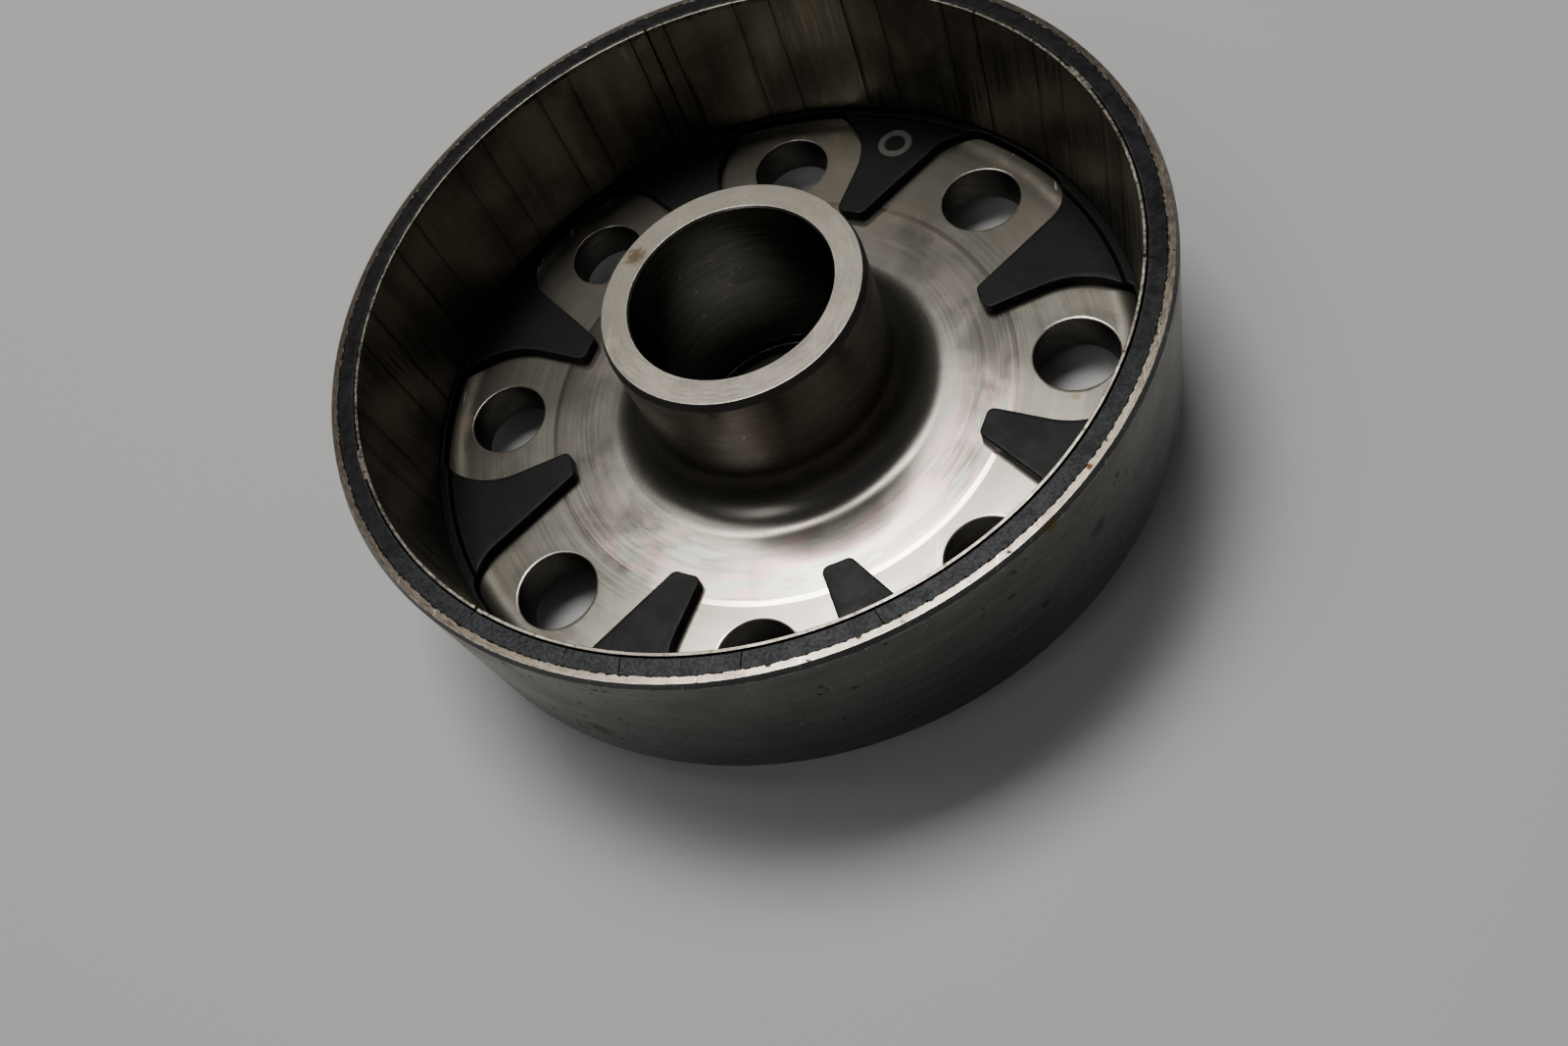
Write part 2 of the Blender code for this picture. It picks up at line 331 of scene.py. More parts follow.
class Value:
    """A shader socket that adds Math nodes when it is used in arithmetic."""

    def __init__(self, graph: Graph, socket: bpy.types.NodeSocket) -> None:
        """Remember the socket, and the graph that new nodes go to."""
        self.graph = graph
        self.socket = socket

    def __add__(self, other: object) -> Value:
        """Return the sum."""
        return self.graph.maths("ADD", self, other)

    def __sub__(self, other: object) -> Value:
        """Return this less another."""
        return self.graph.maths("SUBTRACT", self, other)

    def __mul__(self, other: object) -> Value:
        """Return the product."""
        return self.graph.maths("MULTIPLY", self, other)

    def __truediv__(self, other: object) -> Value:
        """Return this over another."""
        return self.graph.maths("DIVIDE", self, other)

    def __abs__(self) -> Value:
        """Return the size without the sign."""
        return self.graph.maths("ABSOLUTE", self)

    __radd__ = __add__
    __rmul__ = __mul__


class GroupMaker:
    """Builds one shared shader effect with named inputs and outputs."""

    def __init__(self, name: str, inputs: dict[str, object], outputs: tuple[str, ...]) -> None:
        """Make the group's tree and sockets.

        Args:
            name: the group's name.
            inputs: name and default of each input; a tuple makes it a vector.
            outputs: names of the outputs, all numbers.
        """
        self.tree = bpy.data.node_groups.new(name, "ShaderNodeTree")
        for title, default in inputs.items():
            kind = "NodeSocketVector" if isinstance(default, tuple) else "NodeSocketFloat"
            socket = self.tree.interface.new_socket(title, in_out="INPUT", socket_type=kind)
            socket.default_value = default
        for title in outputs:
            self.tree.interface.new_socket(title, in_out="OUTPUT", socket_type="NodeSocketFloat")
        self.graph = Graph(self.tree)
        self._start = self.graph.add("NodeGroupInput")
        self._end = self.graph.add("NodeGroupOutput")

    def given(self, name: str) -> Value:
        """Return an input's value."""
        return Value(self.graph, self._start.outputs[name])

    def give(self, name: str, value: Value) -> None:
        """Set an output."""
        self.graph.put(self._end.inputs[name], value)


class Effects:
    """The effects that several finishes share, each built once."""

    def __init__(self) -> None:
        """Build every group."""
        self.turning = self._turning()
        self.stain = self._stain()
        self.scratches = self._scratches()
        self.specks = self._specks()
        self.patches = self._patches()
        self.edge_wear = self._edge_wear()

    @staticmethod
    def _turning() -> bpy.types.NodeTree:
        """Tool marks that run round the axis: fine lines and broad bands.

        Noise is read at (place along the section, cosine, sine), so that it changes
        quickly across the marks and slowly round them.
        """
        maker = GroupMaker("turning_marks", {"Vector": (0.0, 0.0, 0.0), "Across": 6000.0,
                                             "Around": 2.0}, ("Lines", "Bands"))
        graph = maker.graph
        x, y, z = graph.parts(maker.given("Vector"))
        radius = graph.maths("SQRT", x * x + y * y)
        radius = graph.maths("MAXIMUM", radius, 1e-06)
        along = z * 1.31 + radius
        around = maker.given("Around")
        cosine = x / radius * around
        sine = y / radius * around
        fine = along * maker.given("Across")
        broad = fine * 0.11
        maker.give("Lines", graph.noise(
            graph.joined(fine, cosine, sine), 1.0, detail=3.0, roughness=0.6))
        maker.give("Bands", graph.noise(
            graph.joined(broad, cosine, sine), 1.0, detail=2.0, roughness=0.5))
        return maker.tree

    @staticmethod
    def _stain() -> bpy.types.NodeTree:
        """A spot about a centre, full inside and broken at its edge."""
        maker = GroupMaker("stain_spot", {"Vector": (0.0, 0.0, 0.0), "Centre": (0.0, 0.0, 0.0),
                                          "Radius": 0.002, "Breakup": 0.8}, ("Mask",))
        graph = maker.graph
        radius = maker.given("Radius")
        away = graph.vectors("DISTANCE", maker.given("Vector"), maker.given("Centre"),
                             output="Value")
        ragged = graph.noise(maker.given("Vector"), 1400.0, detail=4.0, roughness=0.65) - 0.5
        edge = ragged * (radius * maker.given("Breakup")) * 2.0 + away
        maker.give("Mask", graph.ramp(edge, radius, radius * 0.25))
        return maker.tree

    @staticmethod
    def _scratches() -> bpy.types.NodeTree:
        """Fine straight scratches in three directions: thresholded noise, stretched long."""
        maker = GroupMaker("fine_scratches", {"Vector": (0.0, 0.0, 0.0), "Scale": 1200.0,
                                              "Amount": 0.5}, ("Mask",))
        graph = maker.graph
        level = maker.given("Amount") * -0.12 + 0.76
        masks = []
        for number, turn in enumerate((17.0, 74.0, 128.0)):
            node = graph.add("ShaderNodeMapping")
            graph.put(node.inputs["Vector"], maker.given("Vector"))
            node.inputs["Location"].default_value = (0.013 * number, 0.007 * number, 0.0)
            node.inputs["Rotation"].default_value = (0.2 * number, 0.1, math.radians(turn))
            node.inputs["Scale"].default_value = (1.0, 0.03, 0.6)
            lines = graph.noise(node.outputs[0], maker.given("Scale"), detail=1.0, roughness=0.4)
            masks.append(graph.ramp(lines, level, level + 0.05))
        both = graph.maths("MAXIMUM", masks[0], masks[1])
        maker.give("Mask", graph.maths("MAXIMUM", both, masks[2]))
        return maker.tree

    @staticmethod
    def _specks() -> bpy.types.NodeTree:
        """Small scattered dots, thinned out by a broader noise."""
        maker = GroupMaker("specks", {"Vector": (0.0, 0.0, 0.0), "Scale": 900.0,
                                      "Amount": 0.5}, ("Mask",))
        graph = maker.graph
        cells = graph.add("ShaderNodeTexVoronoi")
        graph.put(cells.inputs["Vector"], maker.given("Vector"))
        graph.put(cells.inputs["Scale"], maker.given("Scale"))
        dots = graph.ramp(cells.outputs["Distance"], 0.33, 0.18)
        clusters = graph.noise(maker.given("Vector"), 260.0, detail=3.0, roughness=0.6)
        level = maker.given("Amount") * -0.35 + 0.78
        kept = graph.ramp(clusters, level, level + 0.08)
        maker.give("Mask", dots * kept)
        return maker.tree

    @staticmethod
    def _patches() -> bpy.types.NodeTree:
        """Broad cloudy patches and a fine grain."""
        maker = GroupMaker("patches", {"Vector": (0.0, 0.0, 0.0), "Scale": 90.0,
                                       "Grain Scale": 4000.0}, ("Clouds", "Grain"))
        graph = maker.graph
        clouds = graph.noise(maker.given("Vector"), maker.given("Scale"), detail=4.0,
                             roughness=0.55, distortion=0.4)
        maker.give("Clouds", graph.ramp(clouds, 0.32, 0.68))
        maker.give("Grain", graph.noise(maker.given("Vector"), maker.given("Grain Scale")))
        return maker.tree

    @staticmethod
    def _edge_wear() -> bpy.types.NodeTree:
        """Wear on rounded edges, from the mesh's own edge marks, broken up by noise."""
        maker = GroupMaker("edge_wear", {"Vector": (0.0, 0.0, 0.0), "Scale": 700.0}, ("Mask",))
        graph = maker.graph
        marks = graph.add("ShaderNodeAttribute", attribute_name="edge").outputs["Fac"]
        breaks = graph.noise(maker.given("Vector"), maker.given("Scale"), detail=4.0, roughness=0.6)
        maker.give("Mask", marks * graph.ramp(breaks, 0.35, 0.62))
        return maker.tree


# Finishes

@dataclass(frozen=True)
class Stain:
    """A discoloured spot at an angle, radius and height."""

    angle: float
    radius: float
    height: float
    size: float
    colour: Colour = (0.10, 0.055, 0.025)
    strength: float = 0.8

    def centre(self) -> tuple[float, float, float]:
        """Return the spot's middle, in metres."""
        turn = math.radians(self.angle)
        return self.radius * math.cos(turn), self.radius * math.sin(turn), self.height


@dataclass(frozen=True)
class Finish:
    """What every finish has: a name and a way to start its material."""

    name: str

    def start(self) -> tuple[bpy.types.Material, Graph, bpy.types.Node]:
        """Return a new material, its graph and its Principled shader."""
        material = bpy.data.materials.new(self.name)
        material.use_nodes = True
        graph = Graph(material.node_tree)
        return material, graph, material.node_tree.nodes["Principled BSDF"]


@dataclass(frozen=True)
class TurnedSteel(Finish):
    """Steel cut on a lathe: marks round the axis, patches, specks, scratches, stains, a dark ring of
    grime and painted shade, and painted sheen.
    """

    light: Colour = (0.56, 0.54, 0.51)
    dark: Colour = (0.36, 0.35, 0.33)
    roughness: float = 0.30
    roughness_spread: float = 0.10
    across: float = 6000.0
    around: float = 2.0
    relief: float = 0.003 * MM
    anisotropy: float = 0.6
    clouds: float = 0.35
    speckled: float = 0.0
    scratched: float = 0.3
    worn_edge: Colour = (0.72, 0.70, 0.67)
    metallic: float = 1.0
    painted_sheen_tint: float = 0.0
    grime_and_shade_from: float = 0.0
    grime_and_shade_to: float = 0.0
    grime_and_shade: Colour = (0.085, 0.078, 0.062)
    grime_and_shade_drift: float = 1.4 * MM
    grime_and_shade_scale: float = 220.0
    stains: tuple[Stain, ...] = ()

    def build(self, effects: Effects) -> bpy.types.Material:
        """Return the material."""
        material, graph, shader = self.start()
        place = graph.place()
        lines, bands = graph.use(effects.turning, vector=place, across=self.across,
                                 around=self.around)
        clouds, _ = graph.use(effects.patches, vector=place, scale=95.0, grain_scale=5200.0)
        shade = graph.ramp(lines * 0.45 + bands * 0.55, 0.36, 0.64)
        clouded = clouds * self.clouds + shade * (1.0 - self.clouds)
        colour = graph.mixed(clouded, self.dark, self.light)
        # Painted sheen: rose and green bands painted into the base colour.
        if self.painted_sheen_tint > 0:
            colour = self._painted_sheen(graph, colour, bands, place)
        rough = graph.ramp(lines, 0.3, 0.7, self.roughness - self.roughness_spread,
                           self.roughness + self.roughness_spread)
        rough = clouds * -0.06 + rough
        if self.scratched > 0:
            scratch = graph.mask(effects.scratches, vector=place, scale=1500.0,
                                 amount=self.scratched)
            colour = graph.mixed(scratch * 0.35, colour, self.worn_edge)
        wear = graph.mask(effects.edge_wear, vector=place, scale=800.0)
        colour = graph.mixed(wear * 0.7, colour, self.worn_edge)
        metallic: object = self.metallic
        # Dark ring between two radii: real grime on the rim face's chipped inner edge, painted shade
        # round the hub and in the cove corners of the floor.
        if self.grime_and_shade_to > 0:
            flat = graph.vectors("MULTIPLY", place, (1.0, 1.0, 0.0))
            ring = graph.vectors("LENGTH", flat, output="Value")
            drift = graph.noise(place, self.grime_and_shade_scale, detail=3.0) * self.grime_and_shade_drift
            ring = graph.ramp(ring + drift, self.grime_and_shade_from, self.grime_and_shade_to)
            colour = graph.mixed(ring, colour, self.grime_and_shade)
            rough = ring * 0.12 + rough
        if self.speckled > 0:
            dirt = graph.mask(effects.specks, vector=place, scale=640.0, amount=self.speckled)
            colour = graph.mixed(dirt * 0.85, colour, (0.03, 0.024, 0.02))
            rough = graph.maths("MULTIPLY_ADD", dirt, 0.3, rough, clamp=True)
            metallic = dirt * (-0.8 * self.metallic) + self.metallic
        for stain in self.stains:
            mask = graph.mask(effects.stain, vector=place, centre=stain.centre(), radius=stain.size,
                              breakup=0.9)
            mask = mask * stain.strength
            colour = graph.mixed(mask, colour, stain.colour)
            rough = graph.maths("MULTIPLY_ADD", mask, 0.25, rough, clamp=True)
        graph.put(shader.inputs["Base Color"], colour)
        graph.put(shader.inputs["Roughness"], rough)
        graph.put(shader.inputs["Metallic"], metallic)
        shader.inputs["Anisotropic"].default_value = self.anisotropy
        graph.put(shader.inputs["Tangent"], graph.vectors(
            "NORMALIZE", graph.vectors("CROSS_PRODUCT", (0.0, 0.0, 1.0), place)))
        graph.put(shader.inputs["Normal"], graph.bump(lines, self.relief))
        return material

    def _painted_sheen(self, graph: Graph, colour: Value, bands: Value, place: Value) -> Value:
        """Paint a sheen into the colour: faint rose and green bands, as fine grooves split light,
        strongest towards -Y.
        """
        x, y, _ = graph.parts(place)
        facing = x * 0.35 - y
        amount = graph.ramp(facing, 0.004, 0.026, 0.12 * self.painted_sheen_tint, self.painted_sheen_tint)
        drift = graph.noise(place, 70.0, detail=1.0)
        hue = graph.maths("FRACT", bands * 2.2 + drift * 2.6)
        rose = graph.ramp(hue, 0.15, 0.40)
        green = graph.ramp(hue, 0.60, 0.85)
        tinted = graph.mixed(rose * amount, colour, (0.8, 0.61, 0.59))
        return graph.mixed(green * amount, tinted, (0.6, 0.68, 0.57))


@dataclass(frozen=True)
class MouldedResin(Finish):
    """Black filled resin: matt, faintly mottled, grey-scuffed edges, pale dust, painted sheen and
    highlight.
    """

    light: Colour = (0.040, 0.041, 0.043)
    dark: Colour = (0.014, 0.014, 0.015)
    roughness: float = 0.50
    relief: float = 0.02 * MM
    dusted: float = 0.25
    painted_near_sheen: float = 0.0
    patch_scale: float = 260.0
    grain_scale: float = 5200.0
    mark: Stain | None = None
    stains: tuple[Stain, ...] = ()

    def build(self, effects: Effects) -> bpy.types.Material:
        """Return the material."""
        material, graph, shader = self.start()
        place = graph.place()
        clouds, grain = graph.use(effects.patches, vector=place, scale=self.patch_scale,
                                  grain_scale=self.grain_scale)
        colour = graph.mixed(clouds, self.dark, self.light)
        # Painted sheen: the grain is lightened to grey only on the side towards -Y.
        if self.painted_near_sheen > 0:
            x, y, _ = graph.parts(place)
            facing = x * 0.2 - y * 0.98
            near = graph.ramp(facing, 0.010, 0.058)
            speckle = graph.ramp(grain, 0.40, 0.62)
            wear_and_sheen = near * (speckle * 0.6 + 0.25)
            colour = graph.mixed(wear_and_sheen * self.painted_near_sheen, colour, (0.135, 0.145, 0.155))
        dust = graph.mask(effects.specks, vector=place, scale=2100.0, amount=self.dusted)
        colour = graph.mixed(dust * 0.35, colour, (0.3, 0.28, 0.25))
        wear = graph.mask(effects.edge_wear, vector=place, scale=900.0)
        colour = graph.mixed(wear * 0.4, colour, (0.11, 0.11, 0.11))
        for stain in self.stains:
            mask = graph.mask(effects.stain, vector=place, centre=stain.centre(), radius=stain.size,
                              breakup=1.0)
            colour = graph.mixed(mask * stain.strength, colour, stain.colour)
        rough = graph.ramp(clouds, 0.0, 1.0, self.roughness + 0.03, self.roughness - 0.03)
        height = clouds * 0.6 + grain * 0.4
        if self.mark is not None:
            away = graph.vectors("DISTANCE", place, self.mark.centre(), output="Value")
            inside = graph.ramp(away, self.mark.size * 0.62, self.mark.size * 0.50)
            outside = graph.ramp(away, self.mark.size * 0.88, self.mark.size)
            ring = inside + outside
            height = ring * 8.0 + height
            # Real ejector mark: a groove, polished smoother; its lighter colour is a painted
            # highlight.
            groove_and_highlight = graph.maths("SUBTRACT", 1.0, ring, clamp=True)
            colour = graph.mixed(groove_and_highlight * 0.8, colour, (0.2, 0.2, 0.185))
            rough = groove_and_highlight * -0.22 + rough
        graph.put(shader.inputs["Base Color"], colour)
        graph.put(shader.inputs["Roughness"], rough)
        graph.put(shader.inputs["Normal"], graph.bump(height, self.relief))
        shader.inputs["Specular IOR Level"].default_value = 0.3
        return material


@dataclass(frozen=True)
class RolledStrip(Finish):
    """Thin stainless strip, dulled brown-grey inside, with upright rub lines and painted shade in the
    rib creases.
    """

    light: Colour = (0.30, 0.275, 0.235)
    dark: Colour = (0.13, 0.12, 0.105)
    roughness: float = 0.38
    anisotropy: float = 0.5
    rub: float = 1.0
    pitch: float = 18.0
    line_at: float = 3.0
    crease_shade_depth: float = 0.6

    def build(self, effects: Effects) -> bpy.types.Material:
        """Return the material."""
        material, graph, shader = self.start()
        place = graph.place()
        x, y, z = graph.parts(place)
        upright = graph.joined(x, y, z * 0.035)
        lines = graph.noise(upright, 1600.0, detail=3.0, roughness=0.6)
        bands = graph.noise(upright, 150.0, detail=3.0, roughness=0.55)
        clouds, _ = graph.use(effects.patches, vector=place, scale=70.0, grain_scale=5000.0)
        shade = bands * 0.55 + lines * 0.25 + clouds * 0.2
        colour = graph.mixed(graph.ramp(shade, 0.34, 0.66), self.dark, self.light)
        # Painted shade: dark upright lines where the strip creases over the ribs' edges.
        colour = graph.mixed(self._rib_crease_shade(graph, x, y, bands), colour, (0.035, 0.032, 0.027))
        scratch = graph.mask(effects.scratches, vector=place, scale=1300.0, amount=0.35)
        colour = graph.mixed(scratch * (0.3 * self.rub), colour, (0.42, 0.39, 0.35))
        wear = graph.mask(effects.edge_wear, vector=place, scale=600.0)
        colour = graph.mixed(wear * 0.35, colour, (0.62, 0.59, 0.54))
        graph.put(shader.inputs["Base Color"], colour)
        graph.put(shader.inputs["Roughness"], graph.ramp(lines, 0.3, 0.7, self.roughness - 0.1,
                                                         self.roughness + 0.1))
        shader.inputs["Metallic"].default_value = 1.0
        shader.inputs["Anisotropic"].default_value = self.anisotropy
        graph.put(shader.inputs["Tangent"], graph.joined(0.0, 0.0, 1.0))
        graph.put(shader.inputs["Normal"], graph.bump(lines, 0.003 * MM))
        return material

    def _rib_crease_shade(self, graph: Graph, x: Value, y: Value, fade: Value) -> Value:
        """Return a mask of painted shade: upright dark lines in the creases at both edges of each rib
        behind the strip.
        """
        turn = graph.maths("ARCTAN2", y, x) * (180.0 / math.pi / self.pitch)
        phase = graph.maths("FRACT", turn + 20.5)
        away = abs(abs(phase - 0.5) * self.pitch - self.line_at)
        line = graph.ramp(away, 0.3, 0.05) + graph.ramp(away, 1.6, 0.1, 0.0, 0.35)
        return line * graph.ramp(fade, 0.3, 0.62, 0.25, self.crease_shade_depth)


@dataclass(frozen=True)
class SinteredMagnet(Finish):
    """Dark grey sintered metal with a fine open grain and pale chipped spots."""

    light: Colour = (0.17, 0.17, 0.18)
    dark: Colour = (0.07, 0.07, 0.075)

    def build(self, effects: Effects) -> bpy.types.Material:
        """Return the material."""
        material, graph, shader = self.start()
        place = graph.place()
        clouds, grain = graph.use(effects.patches, vector=place, scale=220.0, grain_scale=3600.0)
        colour = graph.mixed(clouds, self.dark, self.light)
        chips = graph.mask(effects.specks, vector=place, scale=1300.0, amount=0.5)
        colour = graph.mixed(chips * 0.6, colour, (0.34, 0.34, 0.35))
        graph.put(shader.inputs["Base Color"], colour)
        graph.put(shader.inputs["Roughness"], graph.ramp(grain, 0.3, 0.7, 0.5, 0.7))
        shader.inputs["Metallic"].default_value = 0.6
        graph.put(shader.inputs["Normal"], graph.bump(grain, 0.02 * MM))
        return material


# Pieces

class CupRegion(IntEnum):
    """Regions of the steel cup that differ in finish, in the order of its slots."""

    WALL = 0
    RIM_FACE = 1
    CHAMFER = 2
    FACED_FLOOR = 3
    FLOOR = 4
    HUB = 5
    BORE = 6
    BACK = 7
    COVE = 8
    HUB_CHAMFER = 9
    HOLE = 10
    HUB_FACE = 11


@dataclass
class SteelCup:
    """The turned cup with its hub, drilled floor and stepped back."""

    outer_r: float
    top_z: float
    wall: float = 1.6 * MM
    rim_chamfer: tuple[float, float] = (0.46 * MM, 0.92 * MM)
    wall_foot_z: float = 9.5 * MM
    taper_width: float = 6.5 * MM
    boss_r: float = 24.0 * MM
    boss_height: float = 3.5 * MM
    floor_z: float = 10.7 * MM
    cove_r: float = 7.5 * MM
    faced_r: float = 39.3 * MM
    faced_rise: float = 0.045 * MM
    faced_slope: float = 20.0
    hub_r: float = 21.1 * MM
    hub_top_z: float = 37.1 * MM
    hub_fillet_r: float = 7.5 * MM
    hub_chamfer: tuple[float, float] = (0.5 * MM, 1.5 * MM)
    bore_r: float = 16.1 * MM
    bore_chamfer: float = 0.3 * MM
    undercut_r: float = 17.0 * MM
    undercut_top_z: float = 4.0 * MM
    lip_r: float = 15.2 * MM
    lip_z: float = 2.6 * MM
    hole_count: int = 8
    hole_circle_r: float = 49.2 * MM
    hole_r: float = 6.8 * MM
    hole_edge: float = 0.25 * MM
    sector_inner_r: float = 40.5 * MM
    sector_outer_r: float = 58.5 * MM
    sector_under_r: float = 57.4 * MM
    sector_steps: int = 48
    side_steps: int = 24

    @property
    def bore_wall_r(self) -> float:
        """Radius of the wall's inside."""
        return self.outer_r - self.wall

    @property
    def faced_end_r(self) -> float:
        """Radius where the slope around the faced floor meets the outer floor."""
        return self.faced_r + self.faced_slope * self.faced_rise

    @property
    def cove_centre(self) -> tuple[float, float]:
        """Middle of the cove between wall and floor."""
        return self.bore_wall_r - self.cove_r, self.floor_z + self.cove_r

    def floor_height(self, radius: np.ndarray) -> np.ndarray:
        """Height of the floor: flat, then the cove's arc, which stops at the wall."""
        centre_r, centre_z = self.cove_centre
        past = np.clip(radius - centre_r, 0.0, self.cove_r)
        return centre_z - np.sqrt(self.cove_r ** 2 - past ** 2)

    def build(self, materials: list[bpy.types.Material]) -> bpy.types.Object:
        """Return the cup's piece."""
        shell = Shell()
        angles = np.arange(self.hole_count * self.sector_steps) * math.tau
        angles = angles / (self.hole_count * self.sector_steps) - math.pi / self.hole_count
        for outline, marks in (self._outside(), self._inside()):
            finish = self._regions((outline[1:] + outline[:-1]) / 2)
            shell.add(turned(outline, angles), finish, marks, wrap_columns=True)
        for turn in range(self.hole_count):
            self._add_hole(shell, math.tau * turn / self.hole_count)
        return shell.build("cup", materials)

    def _outside(self) -> tuple[np.ndarray, np.ndarray]:
        """Section from the drilled floor's underside out, over the rim and down the cove."""
        wide, high = self.rim_chamfer
        corners = np.array([
            (self.sector_under_r, self.boss_height),
            (self.outer_r - self.taper_width, self.boss_height),
            (self.outer_r, self.wall_foot_z),
            (self.outer_r, self.top_z - high),
            (self.outer_r - wide, self.top_z),
            (self.bore_wall_r, self.top_z),
            (self.bore_wall_r, self.cove_centre[1]),
        ])
        radii = np.array([0.0, 0.6, 0.35, 0.12, 0.08, 0.06, 0.0]) * MM
        outline, marks = rounded_outline(corners, radii, step=18.0)
        reach = math.asin((self.sector_outer_r - self.cove_centre[0]) / self.cove_r)
        cove = circle(self.cove_centre, self.cove_r, np.linspace(0.0, reach - math.pi / 2, 17)[1:])
        cove[-1] = (self.sector_outer_r, self.floor_height(np.array(self.sector_outer_r)))
        return np.vstack([outline, cove]), np.concatenate([marks, np.zeros(len(cove))])

    def _inside(self) -> tuple[np.ndarray, np.ndarray]:
        """Section from the drilled floor in, over the hub, down the bore and under the boss."""
        faced_z = self.floor_z + self.faced_rise
        wide, high = self.hub_chamfer
        fillet_centre = (self.hub_r + self.hub_fillet_r, faced_z + self.hub_fillet_r)
        fillet = circle(fillet_centre, self.hub_fillet_r, np.linspace(-math.pi / 2, -math.pi, 19))
        floor = np.array([
            (self.sector_inner_r, self.floor_z),
            (self.faced_end_r, self.floor_z),
            (self.faced_r, faced_z),
            tuple(fillet[0]),
        ])
        first, first_marks = rounded_outline(floor, np.array([0.0, 0.8, 0.8, 0.0]) * MM, step=6.0)
        first_marks = np.zeros_like(first_marks)
        hub = np.array([
            tuple(fillet[-1]),
            (self.hub_r, self.hub_top_z - high),
            (self.hub_r - wide, self.hub_top_z),
            (self.bore_r + self.bore_chamfer, self.hub_top_z),
            (self.bore_r, self.hub_top_z - self.bore_chamfer),
            (self.bore_r, self.undercut_top_z),
            (self.undercut_r, self.undercut_top_z),
            (self.undercut_r, self.lip_z),
            (self.lip_r, self.lip_z),
            (self.lip_r, 0.0),
            (self.boss_r, 0.0),
            (self.boss_r, self.boss_height),
            (self.sector_inner_r, self.boss_height),
        ])
        radii = np.array([0.0, 0.2, 0.12, 0.1, 0.1, 0.1, 0.1, 0.15, 0.2, 0.3, 0.3, 0.6, 0.0]) * MM
        last, last_marks = rounded_outline(hub, radii)
        marks = np.concatenate([first_marks, np.zeros(len(fillet) - 2), last_marks])
        return np.vstack([first, fillet[1:-1], last]), marks

    def _regions(self, middles: np.ndarray) -> np.ndarray:
        """Return the region of each stretch of a section, from its middle point."""
        radius, height = middles[:, 0], middles[:, 1]
        rim_z = self.top_z - self.rim_chamfer[1]
        hub_z = self.hub_top_z - self.hub_chamfer[1]
        slack, close, face = 0.1 * MM, 0.05 * MM, 0.03 * MM
        on_rim = radius > self.bore_wall_r - close
        tests = [
            (on_rim & (radius > self.outer_r - 0.02 * MM) & (height > self.wall_foot_z)
             & (height < rim_z), CupRegion.WALL),
            (on_rim & (height > self.top_z - face), CupRegion.RIM_FACE),
            (on_rim & (height > rim_z) & (radius > self.outer_r - self.rim_chamfer[0]),
             CupRegion.CHAMFER),
            (height > self.hub_top_z - face, CupRegion.HUB_FACE),
            ((radius > self.hub_r - self.hub_chamfer[0]) & (radius < self.hub_r + slack)
             & (height > hub_z), CupRegion.HUB_CHAMFER),
            ((radius < self.bore_r + close) & (height > self.undercut_top_z), CupRegion.BORE),
            ((radius < self.undercut_r + close) & (height > 3 * slack)
             & (height < self.undercut_top_z + slack), CupRegion.BORE),
            ((radius < self.hub_r + slack)
             & (height > self.floor_z + self.faced_rise + 3 * slack), CupRegion.HUB),
            ((radius < self.faced_end_r) & (height > self.floor_z - slack), CupRegion.FACED_FLOOR),
            ((radius > self.sector_outer_r - 0.01 * MM) & (height > self.floor_z), CupRegion.COVE),
            (height > self.floor_z - slack, CupRegion.FLOOR),
        ]
        return np.select([test for test, _ in tests], [region for _, region in tests],
                         CupRegion.BACK)

    def _add_hole(self, shell: Shell, turn: float) -> None:
        """Add one drilled sector: both faces as fans about the hole, and the hole's wall."""
        half = math.pi / self.hole_count
        across = np.linspace(-half, half, self.sector_steps + 1)
        centre = np.array([self.hole_circle_r, 0.0])
        rims = []
        for outer_r, height, rows, region in (
                (self.sector_outer_r, self.floor_height, 13, CupRegion.FLOOR),
                (self.sector_under_r, self._under_height, 6, CupRegion.BACK)):
            out = np.linspace(self.sector_inner_r, outer_r, self.side_steps + 1)
            border = np.vstack([
                circle((0.0, 0.0), self.sector_inner_r, across)[:-1],
                out[:-1, None] * np.array([math.cos(half), math.sin(half)]),
                circle((0.0, 0.0), outer_r, across[::-1])[:-1],
                out[:0:-1, None] * np.array([math.cos(half), -math.sin(half)]),
            ])
            toward = border - centre
            toward = toward / np.linalg.norm(toward, axis=1, keepdims=True)
            edge = centre + toward * (self.hole_r + self.hole_edge)
            share = np.concatenate([[0.0, 0.03], np.linspace(0.0, 1.0, rows)[1:]])[:, None, None]
            flat = edge + (border - edge) * share
            shell.add(spun(lifted(flat, height), turn), region, wrap_columns=True)
            rims.append((toward, height))
        toward = rims[0][0]
        bend = np.linspace(0.0, math.pi / 2, 4)
        inset = self.hole_edge * (1.0 - np.sin(bend))
        drop = self.hole_edge * (1.0 - np.cos(bend))
        upper = self._ring(toward, inset, rims[0][1], -drop)
        lower = self._ring(rims[1][0], inset, rims[1][1], drop)
        marks = np.array([0.3, 1.0, 1.0, 0.3])
        shell.add(spun(upper, turn), CupRegion.FLOOR, marks, wrap_columns=True)
        shell.add(spun(lower, turn), CupRegion.BACK, marks, wrap_columns=True)
        wall = np.stack([upper[-1], lower[-1]])
        share = np.array([0.0, 0.06, 0.5, 0.94, 1.0])[:, None, None]
        shell.add(spun(wall[0] + (wall[1] - wall[0]) * share, turn), CupRegion.HOLE,
                  wrap_columns=True)

